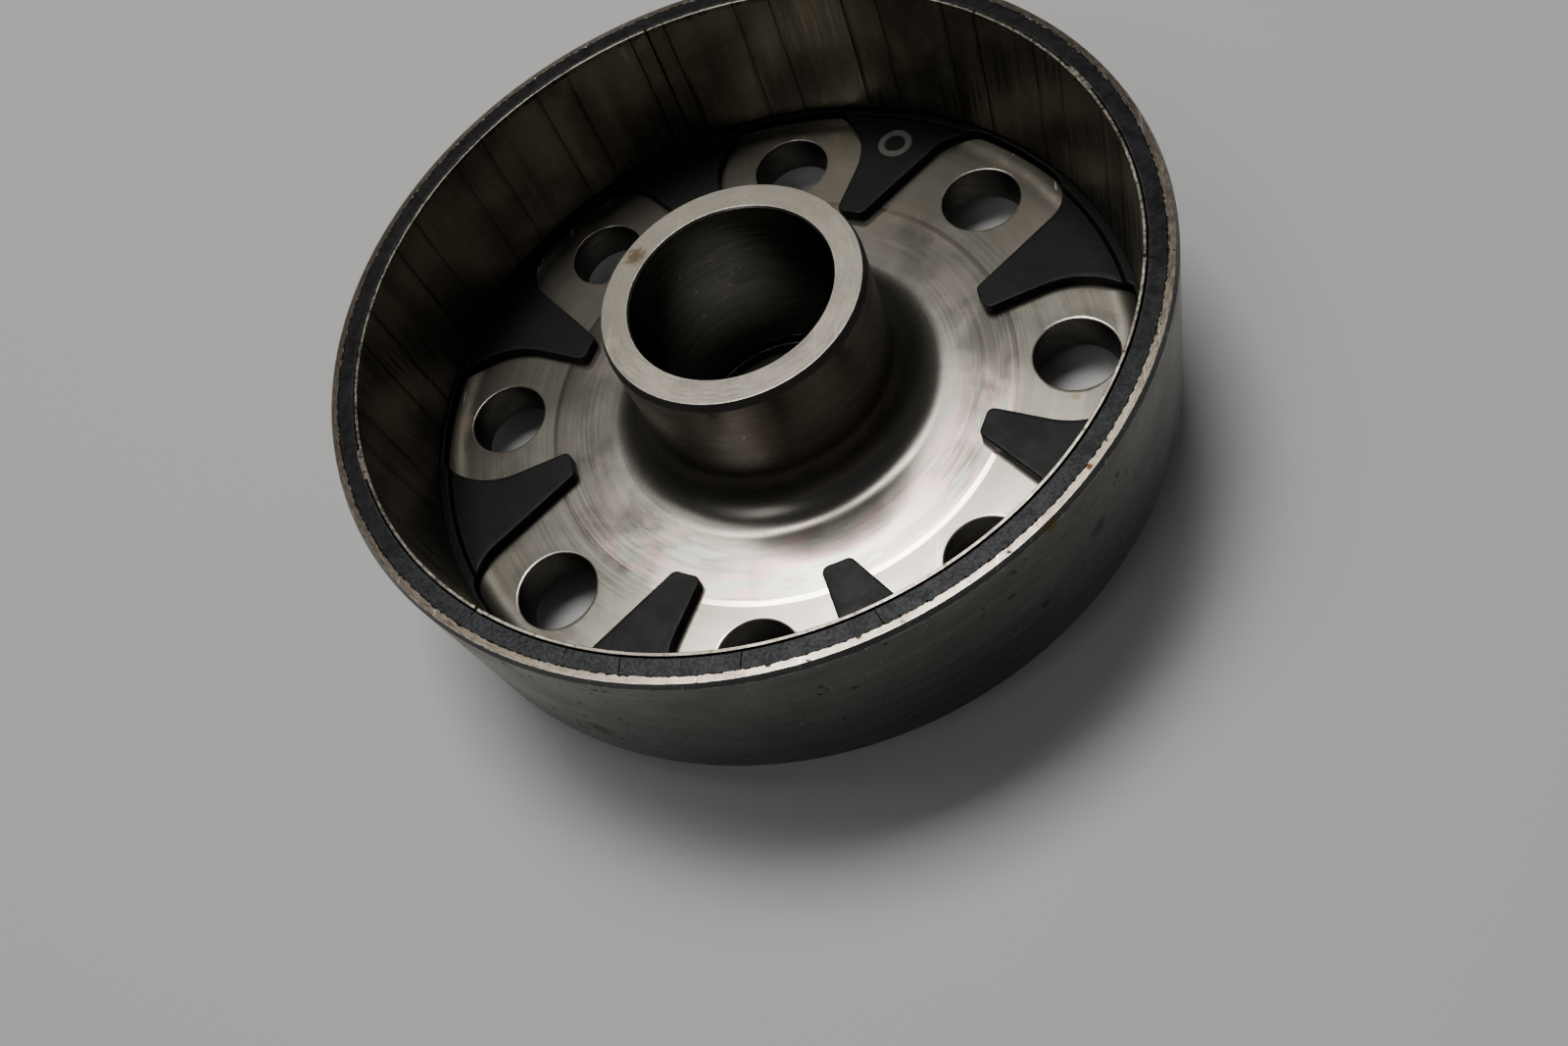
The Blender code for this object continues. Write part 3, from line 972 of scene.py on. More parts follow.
    def _ring(self, toward: np.ndarray, inset: np.ndarray, height: Height,
              drop: np.ndarray) -> np.ndarray:
        """Return rows of the hole's rounded edge: its radius shrinks as the height drops."""
        flat = (np.array([self.hole_circle_r, 0.0])
                + toward[None] * (self.hole_r + inset)[:, None, None])
        start = height(np.linalg.norm(flat[:1], axis=2))
        level = np.broadcast_to(start, flat.shape[:2]) + drop[:, None]
        return np.concatenate([flat, level[..., None]], axis=2)

    def _under_height(self, radius: np.ndarray) -> np.ndarray:
        """Height of the flat underside."""
        return np.full_like(radius, self.boss_height)


class ResinRegion(IntEnum):
    """Regions of the resin that differ in finish, in the order of its slots."""

    FINGERS = 0
    BAND = 1


@dataclass(frozen=True)
class Crack:
    """A crack across the resin's top band, which reaches a share of the way outwards."""

    angle: float
    slant: float = 0.0
    depth: float = 0.30 * MM
    half_width: float = 0.07 * MM
    reach: float = 1.0
    fade: float = 0.06

    def depth_at(self, angles: np.ndarray, across: np.ndarray, radius: np.ndarray) -> np.ndarray:
        """Return the crack's depth at each point.

        Args:
            angles: (columns,) angle of each column, in radians.
            across: (rows, columns) share of the way across the band.
            radius: (rows, columns) radius of each point.

        Returns:
            (rows, columns) depths.
        """
        line = self.angle + self.slant * (across - 0.5)
        away = (np.degrees(angles)[None] - line + 180.0) % 360.0 - 180.0
        away = np.abs(np.radians(away)) * radius / self.half_width
        shown = 1.0 if self.reach >= 1.0 else np.clip((self.reach - across) / self.fade, 0.0, 1.0)
        return self.depth * np.clip(1.0 - away, 0.0, 1.0) * shown


@dataclass
class ResinMoulding:
    """The black resin: a band round the rim, ribs between the magnets and eight fingers."""

    cup: SteelCup
    top_z: float = 39.9 * MM
    inner_r: float = 60.9 * MM
    band_bottom_z: float = 38.1 * MM
    finger_top_z: float = 12.7 * MM
    tip_r: float = 36.6 * MM
    tip_corner: float = 1.3 * MM
    least_corner: float = 0.3 * MM
    corner_gap: float = 0.05 * MM
    side_points: int = 44
    finger_middle: float = 19.0
    ledge_start_r: float = 58.1 * MM
    ledge_end_r: float = 58.8 * MM
    ledge_z: float = 13.6 * MM
    outer_r: float = 61.3 * MM
    window_limit_r: float = 59.5 * MM
    narrow_r: float = 13.6 * MM
    narrow_taper: float = 20.0
    wide_half: float = 13.9 * MM
    wide_corner: float = 7.0 * MM
    edge: float = 0.25 * MM
    root_r: float = 57.4 * MM
    sink: float = 0.04 * MM
    rib_half: float = 2.85
    rib_count: int = 20
    rib_foot_z: float = 18.3 * MM
    rib_overlap: float = 0.3 * MM
    band_gap: float = 0.02 * MM
    worked_depth: float = 0.5 * MM
    ragged: float = 0.05 * MM
    chipped_arc: tuple[float, float] = (-67.0, -45.0)
    chip_depth: float = 0.17 * MM
    small_chip_depth: float = 0.08 * MM
    uneven: float = 0.025 * MM
    cracks: tuple[Crack, ...] = (
        Crack(-98.4, 0.35), Crack(-83.3, -0.25), Crack(-66.6, 0.3),
        Crack(-106.0, 0.1, reach=0.3), Crack(-113.0, -0.1, reach=0.25),
        Crack(-6.3, 0.0, reach=0.4), Crack(-121.0, 0.0, reach=0.35),
        Crack(141.0, 0.2, reach=0.4), Crack(63.0, 0.1, reach=0.3),
    )

    def build(self, materials: list[bpy.types.Material]) -> bpy.types.Object:
        """Return the resin's piece."""
        shell = Shell()
        self._add_band(shell)
        self._add_ribs(shell)
        self._add_floor(shell)
        return shell.build("resin", materials)

    def _band_section(self, outer: float) -> tuple[np.ndarray, np.ndarray]:
        """Return the band's section and its edge marks, with points across its top."""
        corners = np.array([
            (self.inner_r, self.band_bottom_z), (self.inner_r, self.top_z),
            (outer, self.top_z), (outer, self.band_bottom_z),
        ])
        outline, marks = rounded_outline(corners, np.array([0.0, 0.16, 0.06, 0.0]) * MM)
        top = outline[:, 1] > self.top_z - 1e-9
        first, last = np.flatnonzero(top)[[0, -1]]
        fill = np.linspace(outline[first], outline[last], 12)[1:-1]
        outline = np.vstack([outline[:first + 1], fill, outline[last:]])
        return outline, np.concatenate([marks[:first + 1], np.zeros(len(fill)), marks[last:]])

    def _add_band(self, shell: Shell) -> None:
        """Add the band: a closed section carried round, with cracks and a ragged outside."""
        fine = np.arange(-0.45, 0.45, 0.02)
        angles = np.concatenate([np.arange(0.0, 360.0, 0.25)]
                                + [crack.angle % 360.0 + fine for crack in self.cracks])
        angles = np.radians(np.unique(np.round(angles % 360.0, 4)))
        outer = self.cup.bore_wall_r - self.band_gap
        outline, marks = self._band_section(outer)
        radius = np.repeat(outline[:, :1], len(angles), axis=1)
        height = np.repeat(outline[:, 1:], len(angles), axis=1)
        across = np.clip((radius - self.inner_r) / (outer - self.inner_r), 0.0, 1.0)
        upper = height > self.top_z - self.worked_depth
        chips = np.clip(wander(angles, (211, 347, 523), 3) * 1.6 - 0.2, 0.0, 1.0)
        ragged = self.ragged * wander(angles, (61, 149, 233), 1)
        ragged -= self.chip_depth * within(angles, *self.chipped_arc, 3.0) * chips
        ragged -= self.small_chip_depth * np.clip(chips - 0.4, 0.0, 1.0)
        radius = radius + np.minimum(ragged, 0.0)[None] * across ** 3 * upper
        uneven = self.uneven * wander(angles, (9, 17, 31, 53), 2)[None] * np.sin(math.pi * across)
        height = height + np.minimum(uneven, 0.02 * MM) * upper
        for crack in self.cracks:
            height = height - crack.depth_at(angles, across, radius) * upper
        grid = np.stack([radius * np.cos(angles), radius * np.sin(angles), height], axis=-1)
        shell.add(grid, ResinRegion.BAND, marks, wrap_rows=True, wrap_columns=True)

    def _add_ribs(self, shell: Shell) -> None:
        """Add the ribs between the magnets, each a bent block behind the guard ring."""
        bottom, top = self.ledge_z - self.rib_overlap, self.band_bottom_z + 0.2 * MM
        inner, outer = self.inner_r - self.rib_overlap, self.cup.bore_wall_r - 0.1 * MM
        section = np.array([(inner, bottom), (outer, self.rib_foot_z), (outer, top), (inner, top)])
        half = math.radians(self.rib_half)
        for number in range(self.rib_count):
            middle = math.tau * number / self.rib_count
            grid = turned(section, np.linspace(middle - half, middle + half, 5))
            shell.add(grid, ResinRegion.BAND, wrap_rows=True)
            for end in (0, -1):
                cap = grid[:, end]
                shell.add(np.stack([cap[[0, 1]], cap[[3, 2]]]), ResinRegion.BAND)

    def top_height(self, radius: np.ndarray) -> np.ndarray:
        """Height of the upper face: flat fingers, then the eased rise to the ledge."""
        t = (radius - self.ledge_start_r) / (self.ledge_end_r - self.ledge_start_r)
        t = np.clip(t, 0.0, 1.0)
        return self.finger_top_z + (self.ledge_z - self.finger_top_z) * t * t * (3.0 - 2.0 * t)

    def under_height(self, radius: np.ndarray) -> np.ndarray:
        """Height of the lower face, just inside the steel floor that it is moulded onto."""
        return self.cup.floor_height(radius) - self.sink

    def _narrow_side(self, grow: float) -> tuple[np.ndarray, np.ndarray]:
        """Edge of half a narrow window from its outer middle inwards.

        The edge is the window's circle about the hole, cut off at the outer limit, and
        then the tangent that tapers towards the hub.

        Args:
            grow: how far the edge is moved into the resin.

        Returns:
            The crown's points outside the root radius, and the side's points inside it.
        """
        hole, radius, limit = self.cup.hole_circle_r, self.narrow_r + grow, self.window_limit_r + grow
        meet = math.acos((limit ** 2 - hole ** 2 - radius ** 2) / (2 * hole * radius))
        root = math.acos((self.root_r ** 2 - hole ** 2 - radius ** 2) / (2 * hole * radius))
        end = math.pi / 2 + math.radians(self.narrow_taper)
        crown_end = circle((hole, 0.0), radius, np.array([meet]))[0]
        crown = circle((0.0, 0.0), limit,
                       np.linspace(0.0, math.atan2(crown_end[1], crown_end[0]), 25)[:-1])
        bend = circle((hole, 0.0), radius, np.linspace(meet, root, 10))
        side = circle((hole, 0.0), radius, np.linspace(root, end, 26))
        taper = math.radians(self.narrow_taper)
        length = (side[-1, 0] - self.tip_r * 0.966) / math.cos(taper)
        run = side[-1] - np.outer(np.linspace(0.0, length, 12)[1:],
                                  (math.cos(taper), math.sin(taper)))
        return np.vstack([crown, bend]), np.vstack([side, run])

    def _wide_side(self, grow: float) -> tuple[np.ndarray, np.ndarray]:
        """Edge of half a wide window, seen with its middle along +X.

        The edge is the outer limit's arc, a round corner that touches it, and a side
        parallel to the middle line.

        Args:
            grow: how far the edge is moved into the resin.

        Returns:
            The crown's points outside the root radius, and the side's points inside it.
        """
        half, corner = self.wide_half + grow, self.wide_corner + grow
        limit = self.window_limit_r + grow
        corner_y = half - corner
        corner_x = math.sqrt((limit - corner) ** 2 - corner_y ** 2)
        touch = math.atan2(corner_y, corner_x)
        away = math.hypot(corner_x, corner_y)
        root = touch + math.acos((self.root_r ** 2 - away ** 2 - corner ** 2) / (2 * away * corner))
        crown = circle((0.0, 0.0), limit, np.linspace(0.0, touch, 16)[:-1])
        bend = circle((corner_x, corner_y), corner, np.linspace(touch, root, 19))
        side = circle((corner_x, corner_y), corner, np.linspace(root, math.pi / 2, 20))
        run_x = np.linspace(corner_x, math.sqrt(self.tip_r ** 2 - half ** 2), 18)[1:]
        run = np.stack([run_x, np.full_like(run_x, half)], axis=-1)
        return np.vstack([crown, bend]), np.vstack([side, run])

    def _finger_edges(self, grow: float) -> tuple[np.ndarray, ...]:
        """Return crown, side, tip, side and crown of the edge from 0 to 45 degrees."""
        crown, side = self._narrow_side(grow)
        far_crown, far_side = self._wide_side(grow)
        turn = math.radians(45.0)
        mirror = np.array([(math.cos(turn), math.sin(turn)), (math.sin(turn), -math.cos(turn))])
        far_crown, far_side = far_crown @ mirror, far_side @ mirror
        side, far_side = (self._with_tip_corner(path, grow) for path in (side, far_side))
        tip = self._arc_between(side[-1], far_side[-1])
        return crown, side, tip, far_side, far_crown

    def _with_tip_corner(self, side: np.ndarray, grow: float) -> np.ndarray:
        """Space a side's points evenly and round the corner where it meets the tip's arc.

        Args:
            side: points along the side towards the hub.
            grow: how far the edge is moved into the resin.

        Returns:
            The side's points, then those of the rounded corner.
        """
        direction = side[-1] - side[-4]
        direction = direction / np.linalg.norm(direction)
        inward = np.array([-direction[1], direction[0]])
        middle = circle((0.0, 0.0), self.tip_r, np.radians(self.finger_middle))
        inward = inward * np.sign(inward @ (middle - side[-1]))
        corner = max(self.tip_corner - grow, self.least_corner)
        base = side[-1] + inward * corner
        ahead = base @ direction
        gap = (self.tip_r + grow + corner) ** 2 - base @ base
        centre = base + direction * (-ahead - math.sqrt(ahead ** 2 + gap))
        first = math.atan2(*(-inward)[::-1])
        last = math.atan2(*(-centre)[::-1])
        swing = (last - first + math.pi) % math.tau - math.pi
        arc = circle(tuple(centre), corner, first + np.linspace(0.0, swing, 10))
        before = (side - centre + inward * corner) @ direction < -self.corner_gap
        path = np.vstack([side[before], arc[:1]])
        return np.vstack([self._resampled(path, self.side_points), arc[1:]])

    @staticmethod
    def _arc_between(start: np.ndarray, end: np.ndarray) -> np.ndarray:
        """Return the arc about the axis from one point to the angle of another."""
        low, high = math.atan2(start[1], start[0]), math.atan2(end[1], end[0])
        return circle((0.0, 0.0), np.linalg.norm(start), np.linspace(low, high, 17))

    @staticmethod
    def _resampled(points: np.ndarray, count: int) -> np.ndarray:
        """Return a path with evenly spaced points."""
        steps = np.linalg.norm(np.diff(points, axis=0), axis=1)
        along = np.concatenate([[0.0], np.cumsum(steps)])
        wanted = np.linspace(0.0, along[-1], count)
        return np.stack([np.interp(wanted, along, points[:, axis]) for axis in (0, 1)], axis=-1)

    def _add_floor(self, shell: Shell) -> None:
        """Add the floor layer as eight fingers' halves, each mirrored about its window."""
        outer = self._finger_edges(0.0)
        inner = self._finger_edges(self.edge)
        for turn in range(4):
            for mirrored in (False, True):
                self._add_eighth(shell, outer, inner, math.radians(90.0 * turn), mirrored)

    def _add_eighth(self, shell: Shell, outer: tuple[np.ndarray, ...],
                    inner: tuple[np.ndarray, ...], turn: float, mirrored: bool) -> None:
        """Add one finger and the ring outside it.

        Args:
            shell: receives the grids.
            outer: the edge itself, in five stretches.
            inner: the edge moved in by its rounding.
            turn: where the narrow window lies.
            mirrored: whether the finger lies on the window's other side.
        """
        crown, side, tip, far_side, far_crown = inner

        def put(grid: np.ndarray, marks: np.ndarray | None = None) -> None:
            """Add a grid in its place."""
            if mirrored:
                grid = grid * np.array([1.0, -1.0, 1.0])
            shell.add(spun(grid, turn), ResinRegion.FINGERS, marks, flip=mirrored)

        root = self._arc_between(side[0], far_side[0])
        border = np.vstack([crown, root[1:-1], far_crown[::-1]])
        radius = np.linalg.norm(border, axis=1)
        rings = np.concatenate([[0.0], np.linspace(self.root_r + 0.2 * MM, self.ledge_end_r, 12),
                                np.linspace(self.ledge_end_r + 0.1 * MM, self.outer_r, 8)])
        wide = np.maximum(radius[None], rings[:, None])
        flat = border / radius[:, None] * wide[..., None]
        for height in (self.top_height, self.under_height):
            put(lifted(self._patch(root, side, tip, far_side), height))
            put(lifted(flat, height))
        put(np.stack([lifted(flat[-1], self.top_height), lifted(flat[-1], self.under_height)]))
        self._add_edge(put, outer, inner)

    def _add_edge(self, put: Callable[..., None], outer: tuple[np.ndarray, ...],
                  inner: tuple[np.ndarray, ...]) -> None:
        """Add the rounded edge and the wall below it, along the whole inner edge."""
        bend = np.linspace(0.0, math.pi / 2, 5)
        for inside, outside in zip(inner, outer):
            share = np.sin(bend)[:, None, None]
            flat = inside[None] + (outside - inside)[None] * share
            start = self.top_height(np.linalg.norm(inside, axis=1))
            level = start[None] - self.edge * (1.0 - np.cos(bend))[:, None]
            foot = self.under_height(np.linalg.norm(outside, axis=1))
            wall_share = np.array([0.08, 0.5, 1.0])[:, None]
            wall = level[-1:] + (foot[None] - level[-1:]) * wall_share
            under = self.under_height(np.linalg.norm(inside, axis=1))
            flat = np.concatenate([flat, np.repeat(outside[None], 3, axis=0), inside[None]])
            level = np.vstack([level, wall, under[None]])
            marks = np.concatenate([np.sin(2 * bend), np.zeros(4)])
            put(np.concatenate([flat, level[..., None]], axis=2), marks)

    @staticmethod
    def _patch(root: np.ndarray, side: np.ndarray, tip: np.ndarray,
               far_side: np.ndarray) -> np.ndarray:
        """Fill a finger: straight blends of its two sides, corrected to its two ends."""
        along = np.linspace(0.0, 1.0, len(side))[:, None, None]
        across = np.linspace(0.0, 1.0, len(tip))[None, :, None]
        sides = side[:, None] * (1.0 - across) + far_side[:, None] * across
        ends = root[None] * (1.0 - along) + tip[None] * along
        corners = ((1.0 - along) * ((1.0 - across) * root[0] + across * root[-1])
                   + along * ((1.0 - across) * tip[0] + across * tip[-1]))
        return sides + ends - corners


class GuardRegion(IntEnum):
    """Regions of the guard ring that differ in finish, in the order of its slots."""

    SLEEVE = 0
    LIP = 1


@dataclass
class GuardRing:
    """The thin steel lining of the magnets, with its turned-out lip, tabs and seam."""

    bottom_z: float
    top_z: float
    bore_r: float = 60.1 * MM
    thickness: float = 0.4 * MM
    flare: float = 0.22 * MM
    lip_height: float = 0.9 * MM
    seam: float = 108.0
    seam_gap: float = 0.4 * MM
    tabs: tuple[tuple[float, float], ...] = ((-157.0, -151.5), (25.5, 31.0))
    tab_reach: float = 0.45 * MM
    notches: tuple[tuple[float, float], ...] = ((-121.2, -119.9), (-6.9, -5.8))
    notch_depth: float = 0.55 * MM
    rib_pitch: float = 18.0
    rib_half: float = 3.0
    relief: float = 0.06 * MM
    uneven: float = 0.03 * MM
    columns: int = 1201

    @property
    def knee_z(self) -> float:
        """Height where the lip starts to turn out."""
        return self.top_z - self.lip_height

    def _angles(self) -> np.ndarray:
        """Return the columns' angles from seam to seam, closer at the tabs and notches."""
        half_gap = math.degrees(self.seam_gap / self.bore_r / 2)
        angles = np.linspace(self.seam + half_gap, self.seam + 360.0 - half_gap, self.columns)
        extra = [edge + shift for pair in self.tabs + self.notches for edge in pair
                 for shift in np.linspace(-0.2, 0.2, 9)]
        extra = [self.seam + (angle - self.seam) % 360.0 for angle in extra]
        return np.radians(np.unique(np.round(np.concatenate([angles, extra]), 4)))

    def _section(self) -> tuple[np.ndarray, np.ndarray]:
        """Return the strip's closed section and its edge marks."""
        inner, outer, knee = self.bore_r, self.bore_r + self.thickness, self.knee_z
        corners = np.array([
            (outer, knee), (outer, self.bottom_z), (inner, self.bottom_z), (inner, knee),
            (inner + self.flare * 0.4, self.top_z), (outer + self.flare, self.top_z), (outer, knee),
        ])
        radii = np.array([0.0, 0.1, 0.12, 1.0, 0.1, 0.08, 0.0]) * MM
        outline, marks = rounded_outline(corners, radii, step=12.0)
        upright = np.linspace(self.bottom_z + 0.4 * MM, knee - 0.6 * MM, 9)
        split = int(np.flatnonzero((outline[:, 0] < inner + 1e-7)
                                   & (outline[:, 1] > self.bottom_z + 0.2 * MM))[0])
        fill = np.stack([np.full_like(upright, inner), upright], axis=-1)
        outline = np.vstack([outline[:split], fill, outline[split:]])
        marks = np.concatenate([marks[:split], np.zeros(len(fill)), marks[split:]])
        return outline[:-1], marks[:-1]

    def build(self, materials: list[bpy.types.Material]) -> bpy.types.Object:
        """Return the ring's piece: a closed section carried round from seam to seam."""
        angles, knee = self._angles(), self.knee_z
        outline, marks = self._section()
        radius = np.repeat(outline[:, :1], len(angles), axis=1)
        height = np.repeat(outline[:, 1:], len(angles), axis=1)
        rise = np.clip((height - knee) / self.lip_height, 0.0, 1.0)
        outside = radius > self.bore_r + self.thickness * 0.7
        for start, end in self.tabs:
            radius = radius + self.tab_reach * within(angles, start, end)[None] * outside * rise
        for start, end in self.notches:
            height = height - self.notch_depth * within(angles, start, end)[None] * rise
        away = np.abs((np.degrees(angles) + self.rib_pitch / 2) % self.rib_pitch
                      - self.rib_pitch / 2)
        crease = np.exp(-((away - self.rib_half) / 0.35) ** 2)
        low = np.clip((knee - 1.0 * MM - height) / (2.0 * MM), 0.0, 1.0)
        radius = radius + self.relief * (crease - 0.4 * (away < self.rib_half))[None] * low
        radius = radius + self.uneven * wander(angles, (5, 7, 12, 23), 9)[None] * (1.0 - rise)
        dips = np.minimum(wander(angles, (37, 71, 90), 4), 0.0)
        height = height + self.uneven * dips[None] * rise
        grid = np.stack([radius * np.cos(angles), radius * np.sin(angles), height], axis=-1)
        middles = (outline + np.roll(outline, -1, axis=0)) / 2
        region = np.where(middles[:, 1] > knee + 0.1 * MM, GuardRegion.LIP, GuardRegion.SLEEVE)
        shell = Shell()
        shell.add(grid, region, marks, wrap_rows=True)
        for loop in (grid[:, 0], grid[:, -1]):
            middle = np.broadcast_to(loop.mean(axis=0), loop.shape)
            shell.add(np.stack([loop, middle]), GuardRegion.SLEEVE, wrap_columns=True)
        return shell.build("guard", materials)


# Finishes of this rotor

RUST = (0.17, 0.075, 0.03)
BROWN = (0.09, 0.06, 0.03)

CUP_FINISHES = (
    # Outer wall: its dark base colour is painted shade, standing in for the dark surroundings that
    # the wall reflects; its stains and specks are real.
    TurnedSteel("wall_steel_painted_shade", light=(0.185, 0.178, 0.163), dark=(0.115, 0.111, 0.10),
                roughness=0.34, across=5200.0, around=3.0, relief=0.001 * MM, anisotropy=0.45,
                clouds=0.45, speckled=0.6, scratched=0.12, worn_edge=(0.50, 0.48, 0.45),
                stains=(Stain(-108.5, 65 * MM, 18 * MM, 3.2 * MM, BROWN, 0.65),
                        Stain(-112.0, 65 * MM, 16 * MM, 1.6 * MM, BROWN, 0.6),
                        Stain(-45.0, 65 * MM, 38.7 * MM, 1.3 * MM, (0.17, 0.145, 0.06), 0.8),
                        Stain(-38.0, 65 * MM, 27 * MM, 2.4 * MM, (0.03, 0.025, 0.02), 0.5),
                        Stain(-48.0, 65 * MM, 22 * MM, 1.2 * MM, (0.03, 0.025, 0.02), 0.6),
                        Stain(-52.0, 65 * MM, 31 * MM, 0.8 * MM, (0.03, 0.025, 0.02), 0.6),
                        Stain(-33.5, 65 * MM, 33 * MM, 0.7 * MM, (0.03, 0.025, 0.02), 0.7))),
    TurnedSteel("rim_face_steel", light=(0.37, 0.325, 0.27), dark=(0.20, 0.165, 0.13),
                roughness=0.30, roughness_spread=0.06, across=7000.0, around=40.0, clouds=0.5,
                relief=0.001 * MM, anisotropy=0.2, speckled=0.75, scratched=0.4, metallic=0.8,
                grime_and_shade_from=64.05 * MM, grime_and_shade_to=63.92 * MM, grime_and_shade=(0.018, 0.017, 0.016),
                grime_and_shade_drift=0.9 * MM, grime_and_shade_scale=1100.0,
                stains=(Stain(-37.0, 63.9 * MM, 40 * MM, 0.55 * MM, RUST, 0.9),)),
    TurnedSteel("chamfer_steel", light=(0.16, 0.16, 0.16), dark=(0.09, 0.09, 0.092),
                roughness=0.32, across=6000.0, anisotropy=0.4, scratched=0.4, speckled=0.2,
                worn_edge=(0.45, 0.44, 0.42),
                stains=(Stain(-45.0, 64.8 * MM, 39.5 * MM, 1.6 * MM, (0.20, 0.17, 0.07), 0.9),)),
    # Faced floor: the dark ring from 35 to 25 mm is painted shade round the hub, and the rose and
    # green tint is painted sheen.
    TurnedSteel("faced_floor_steel", light=(0.60, 0.565, 0.50), dark=(0.53, 0.50, 0.44),
                roughness=0.20, roughness_spread=0.02, across=5200.0, around=1.2, anisotropy=0.3,
                relief=0.0001 * MM, clouds=0.10, scratched=0.10, metallic=0.86, painted_sheen_tint=0.75,
                grime_and_shade_from=35.0 * MM, grime_and_shade_to=25.0 * MM, grime_and_shade=(0.25, 0.24, 0.215),
                grime_and_shade_drift=0.8 * MM),
    # Floor: the dark ring from 56.2 to 58.9 mm is painted shade in the cove corners at the window
    # ends.
    TurnedSteel("floor_steel", light=(0.46, 0.43, 0.375), dark=(0.39, 0.365, 0.32),
                roughness=0.24, roughness_spread=0.02, across=4600.0, around=2.0, anisotropy=0.2,
                relief=0.0003 * MM, clouds=0.3, scratched=0.10, metallic=0.66,
                grime_and_shade_from=56.2 * MM, grime_and_shade_to=58.9 * MM,
                stains=(Stain(-9.3, 49.3 * MM, 10.7 * MM, 1.3 * MM, (0.20, 0.15, 0.10), 0.6),
                        Stain(135.0, 57.6 * MM, 11.0 * MM, 3.0 * MM, (0.22, 0.16, 0.10), 0.45),
                        Stain(180.0, 57.6 * MM, 11.0 * MM, 3.0 * MM, (0.26, 0.21, 0.14), 0.4))),
    TurnedSteel("hub_steel", light=(0.27, 0.26, 0.235), dark=(0.21, 0.20, 0.18),
                roughness=0.33, roughness_spread=0.04, across=5200.0, around=1.5, anisotropy=0.4,
                relief=0.0005 * MM, clouds=0.1, scratched=0.10),
    TurnedSteel("bore_steel", light=(0.22, 0.215, 0.185), dark=(0.15, 0.145, 0.125),
                roughness=0.30, across=6500.0, around=1.5, anisotropy=0.5, clouds=0.2,
                relief=0.001 * MM, scratched=0.1),
    TurnedSteel("back_steel", light=(0.42, 0.40, 0.37), dark=(0.30, 0.29, 0.27),
                roughness=0.35, across=3600.0, around=1.8, anisotropy=0.5, clouds=0.25,
                speckled=0.2),
    # Cove: its dark base colour is painted shade in the corner between floor and wall.
    TurnedSteel("cove_steel_painted_shade", light=(0.11, 0.10, 0.085), dark=(0.07, 0.065, 0.055),
                roughness=0.42, anisotropy=0.3, clouds=0.5),
    # Hub chamfer: its light bluish grey is a painted reflection of light on the chamfer.
    TurnedSteel("hub_chamfer_steel_painted_light", light=(0.44, 0.445, 0.455), dark=(0.33, 0.335, 0.34),
                roughness=0.48, across=6000.0, anisotropy=0.0, scratched=0.3),
    TurnedSteel("hole_steel", light=(0.15, 0.14, 0.125), dark=(0.08, 0.076, 0.068),
                roughness=0.38, across=3000.0, anisotropy=0.0, clouds=0.5, scratched=0.1,
                worn_edge=(0.34, 0.32, 0.29)),
    # Hub face: its faint rose and green tint is painted sheen; the stains are real.
    TurnedSteel("hub_face_steel", light=(0.47, 0.435, 0.375), dark=(0.40, 0.37, 0.315),
                roughness=0.30, roughness_spread=0.03, across=7000.0, around=5.0, clouds=0.5,
                relief=0.0004 * MM, anisotropy=0.2, speckled=0.1, scratched=0.25, metallic=0.85,
                painted_sheen_tint=0.12,
                stains=(Stain(150.5, 18.5 * MM, 37.1 * MM, 2.4 * MM, (0.13, 0.09, 0.045), 0.85),
                        Stain(-158.0, 19.5 * MM, 37.1 * MM, 1.6 * MM, (0.24, 0.19, 0.13), 0.5))),
)

RESIN_FINISHES = (
    # Finger resin: the ejector mark's lighter groove is partly a painted highlight.
    MouldedResin("finger_resin", light=(0.016, 0.016, 0.017), dark=(0.011, 0.011, 0.0115),
                 roughness=0.44, dusted=0.2,
                 mark=Stain(68.0, 53.0 * MM, 12.7 * MM, 3.3 * MM)),
    # Band resin: the grey on the side towards -Y is painted sheen over the grain.
    MouldedResin("band_resin", light=(0.028, 0.028, 0.030), dark=(0.006, 0.006, 0.0065),
                 roughness=0.48, dusted=0.45, painted_near_sheen=0.7, patch_scale=640.0, grain_scale=2600.0,
                 stains=(Stain(-60.0, 61.3 * MM, 39.9 * MM, 0.7 * MM, (0.20, 0.13, 0.11), 0.6),
                         Stain(-35.0, 62.3 * MM, 39.9 * MM, 1.6 * MM, (0.006, 0.006, 0.006), 0.8),
                         Stain(-138.5, 62.3 * MM, 39.9 * MM, 2.2 * MM, (0.007, 0.007, 0.007), 0.7))),
)

GUARD_FINISHES = (
    RolledStrip("sleeve_strip", light=(0.40, 0.37, 0.305), dark=(0.21, 0.195, 0.16),
                anisotropy=0.15),
    RolledStrip("lip_strip", light=(0.42, 0.385, 0.325), dark=(0.22, 0.20, 0.165), roughness=0.34),
)


# Studio

@dataclass(frozen=True)
class SoftBox:
    """An oblong area light that faces the rotor, placed by compass angle and height angle."""

    name: str
    azimuth: float
    elevation: float
    distance: float
    width: float
    height: float
    energy: float
    colour: Colour = (1.0, 0.985, 0.96)

    def build(self, target: Vector) -> None:
        """Add the light."""
        turn, lift = math.radians(self.azimuth), math.radians(self.elevation)
        toward = Vector((math.cos(turn) * math.cos(lift), math.sin(turn) * math.cos(lift),
                         math.sin(lift)))
        data = bpy.data.lights.new(self.name, "AREA")
        data.shape = "RECTANGLE"
        data.size = self.width
        data.size_y = self.height
        data.energy = self.energy
        data.color = self.colour
        light = bpy.data.objects.new(self.name, data)
        light.location = target + toward * self.distance
        light.rotation_euler = toward.to_track_quat("Z", "Y").to_euler()
        bpy.context.scene.collection.objects.link(light)


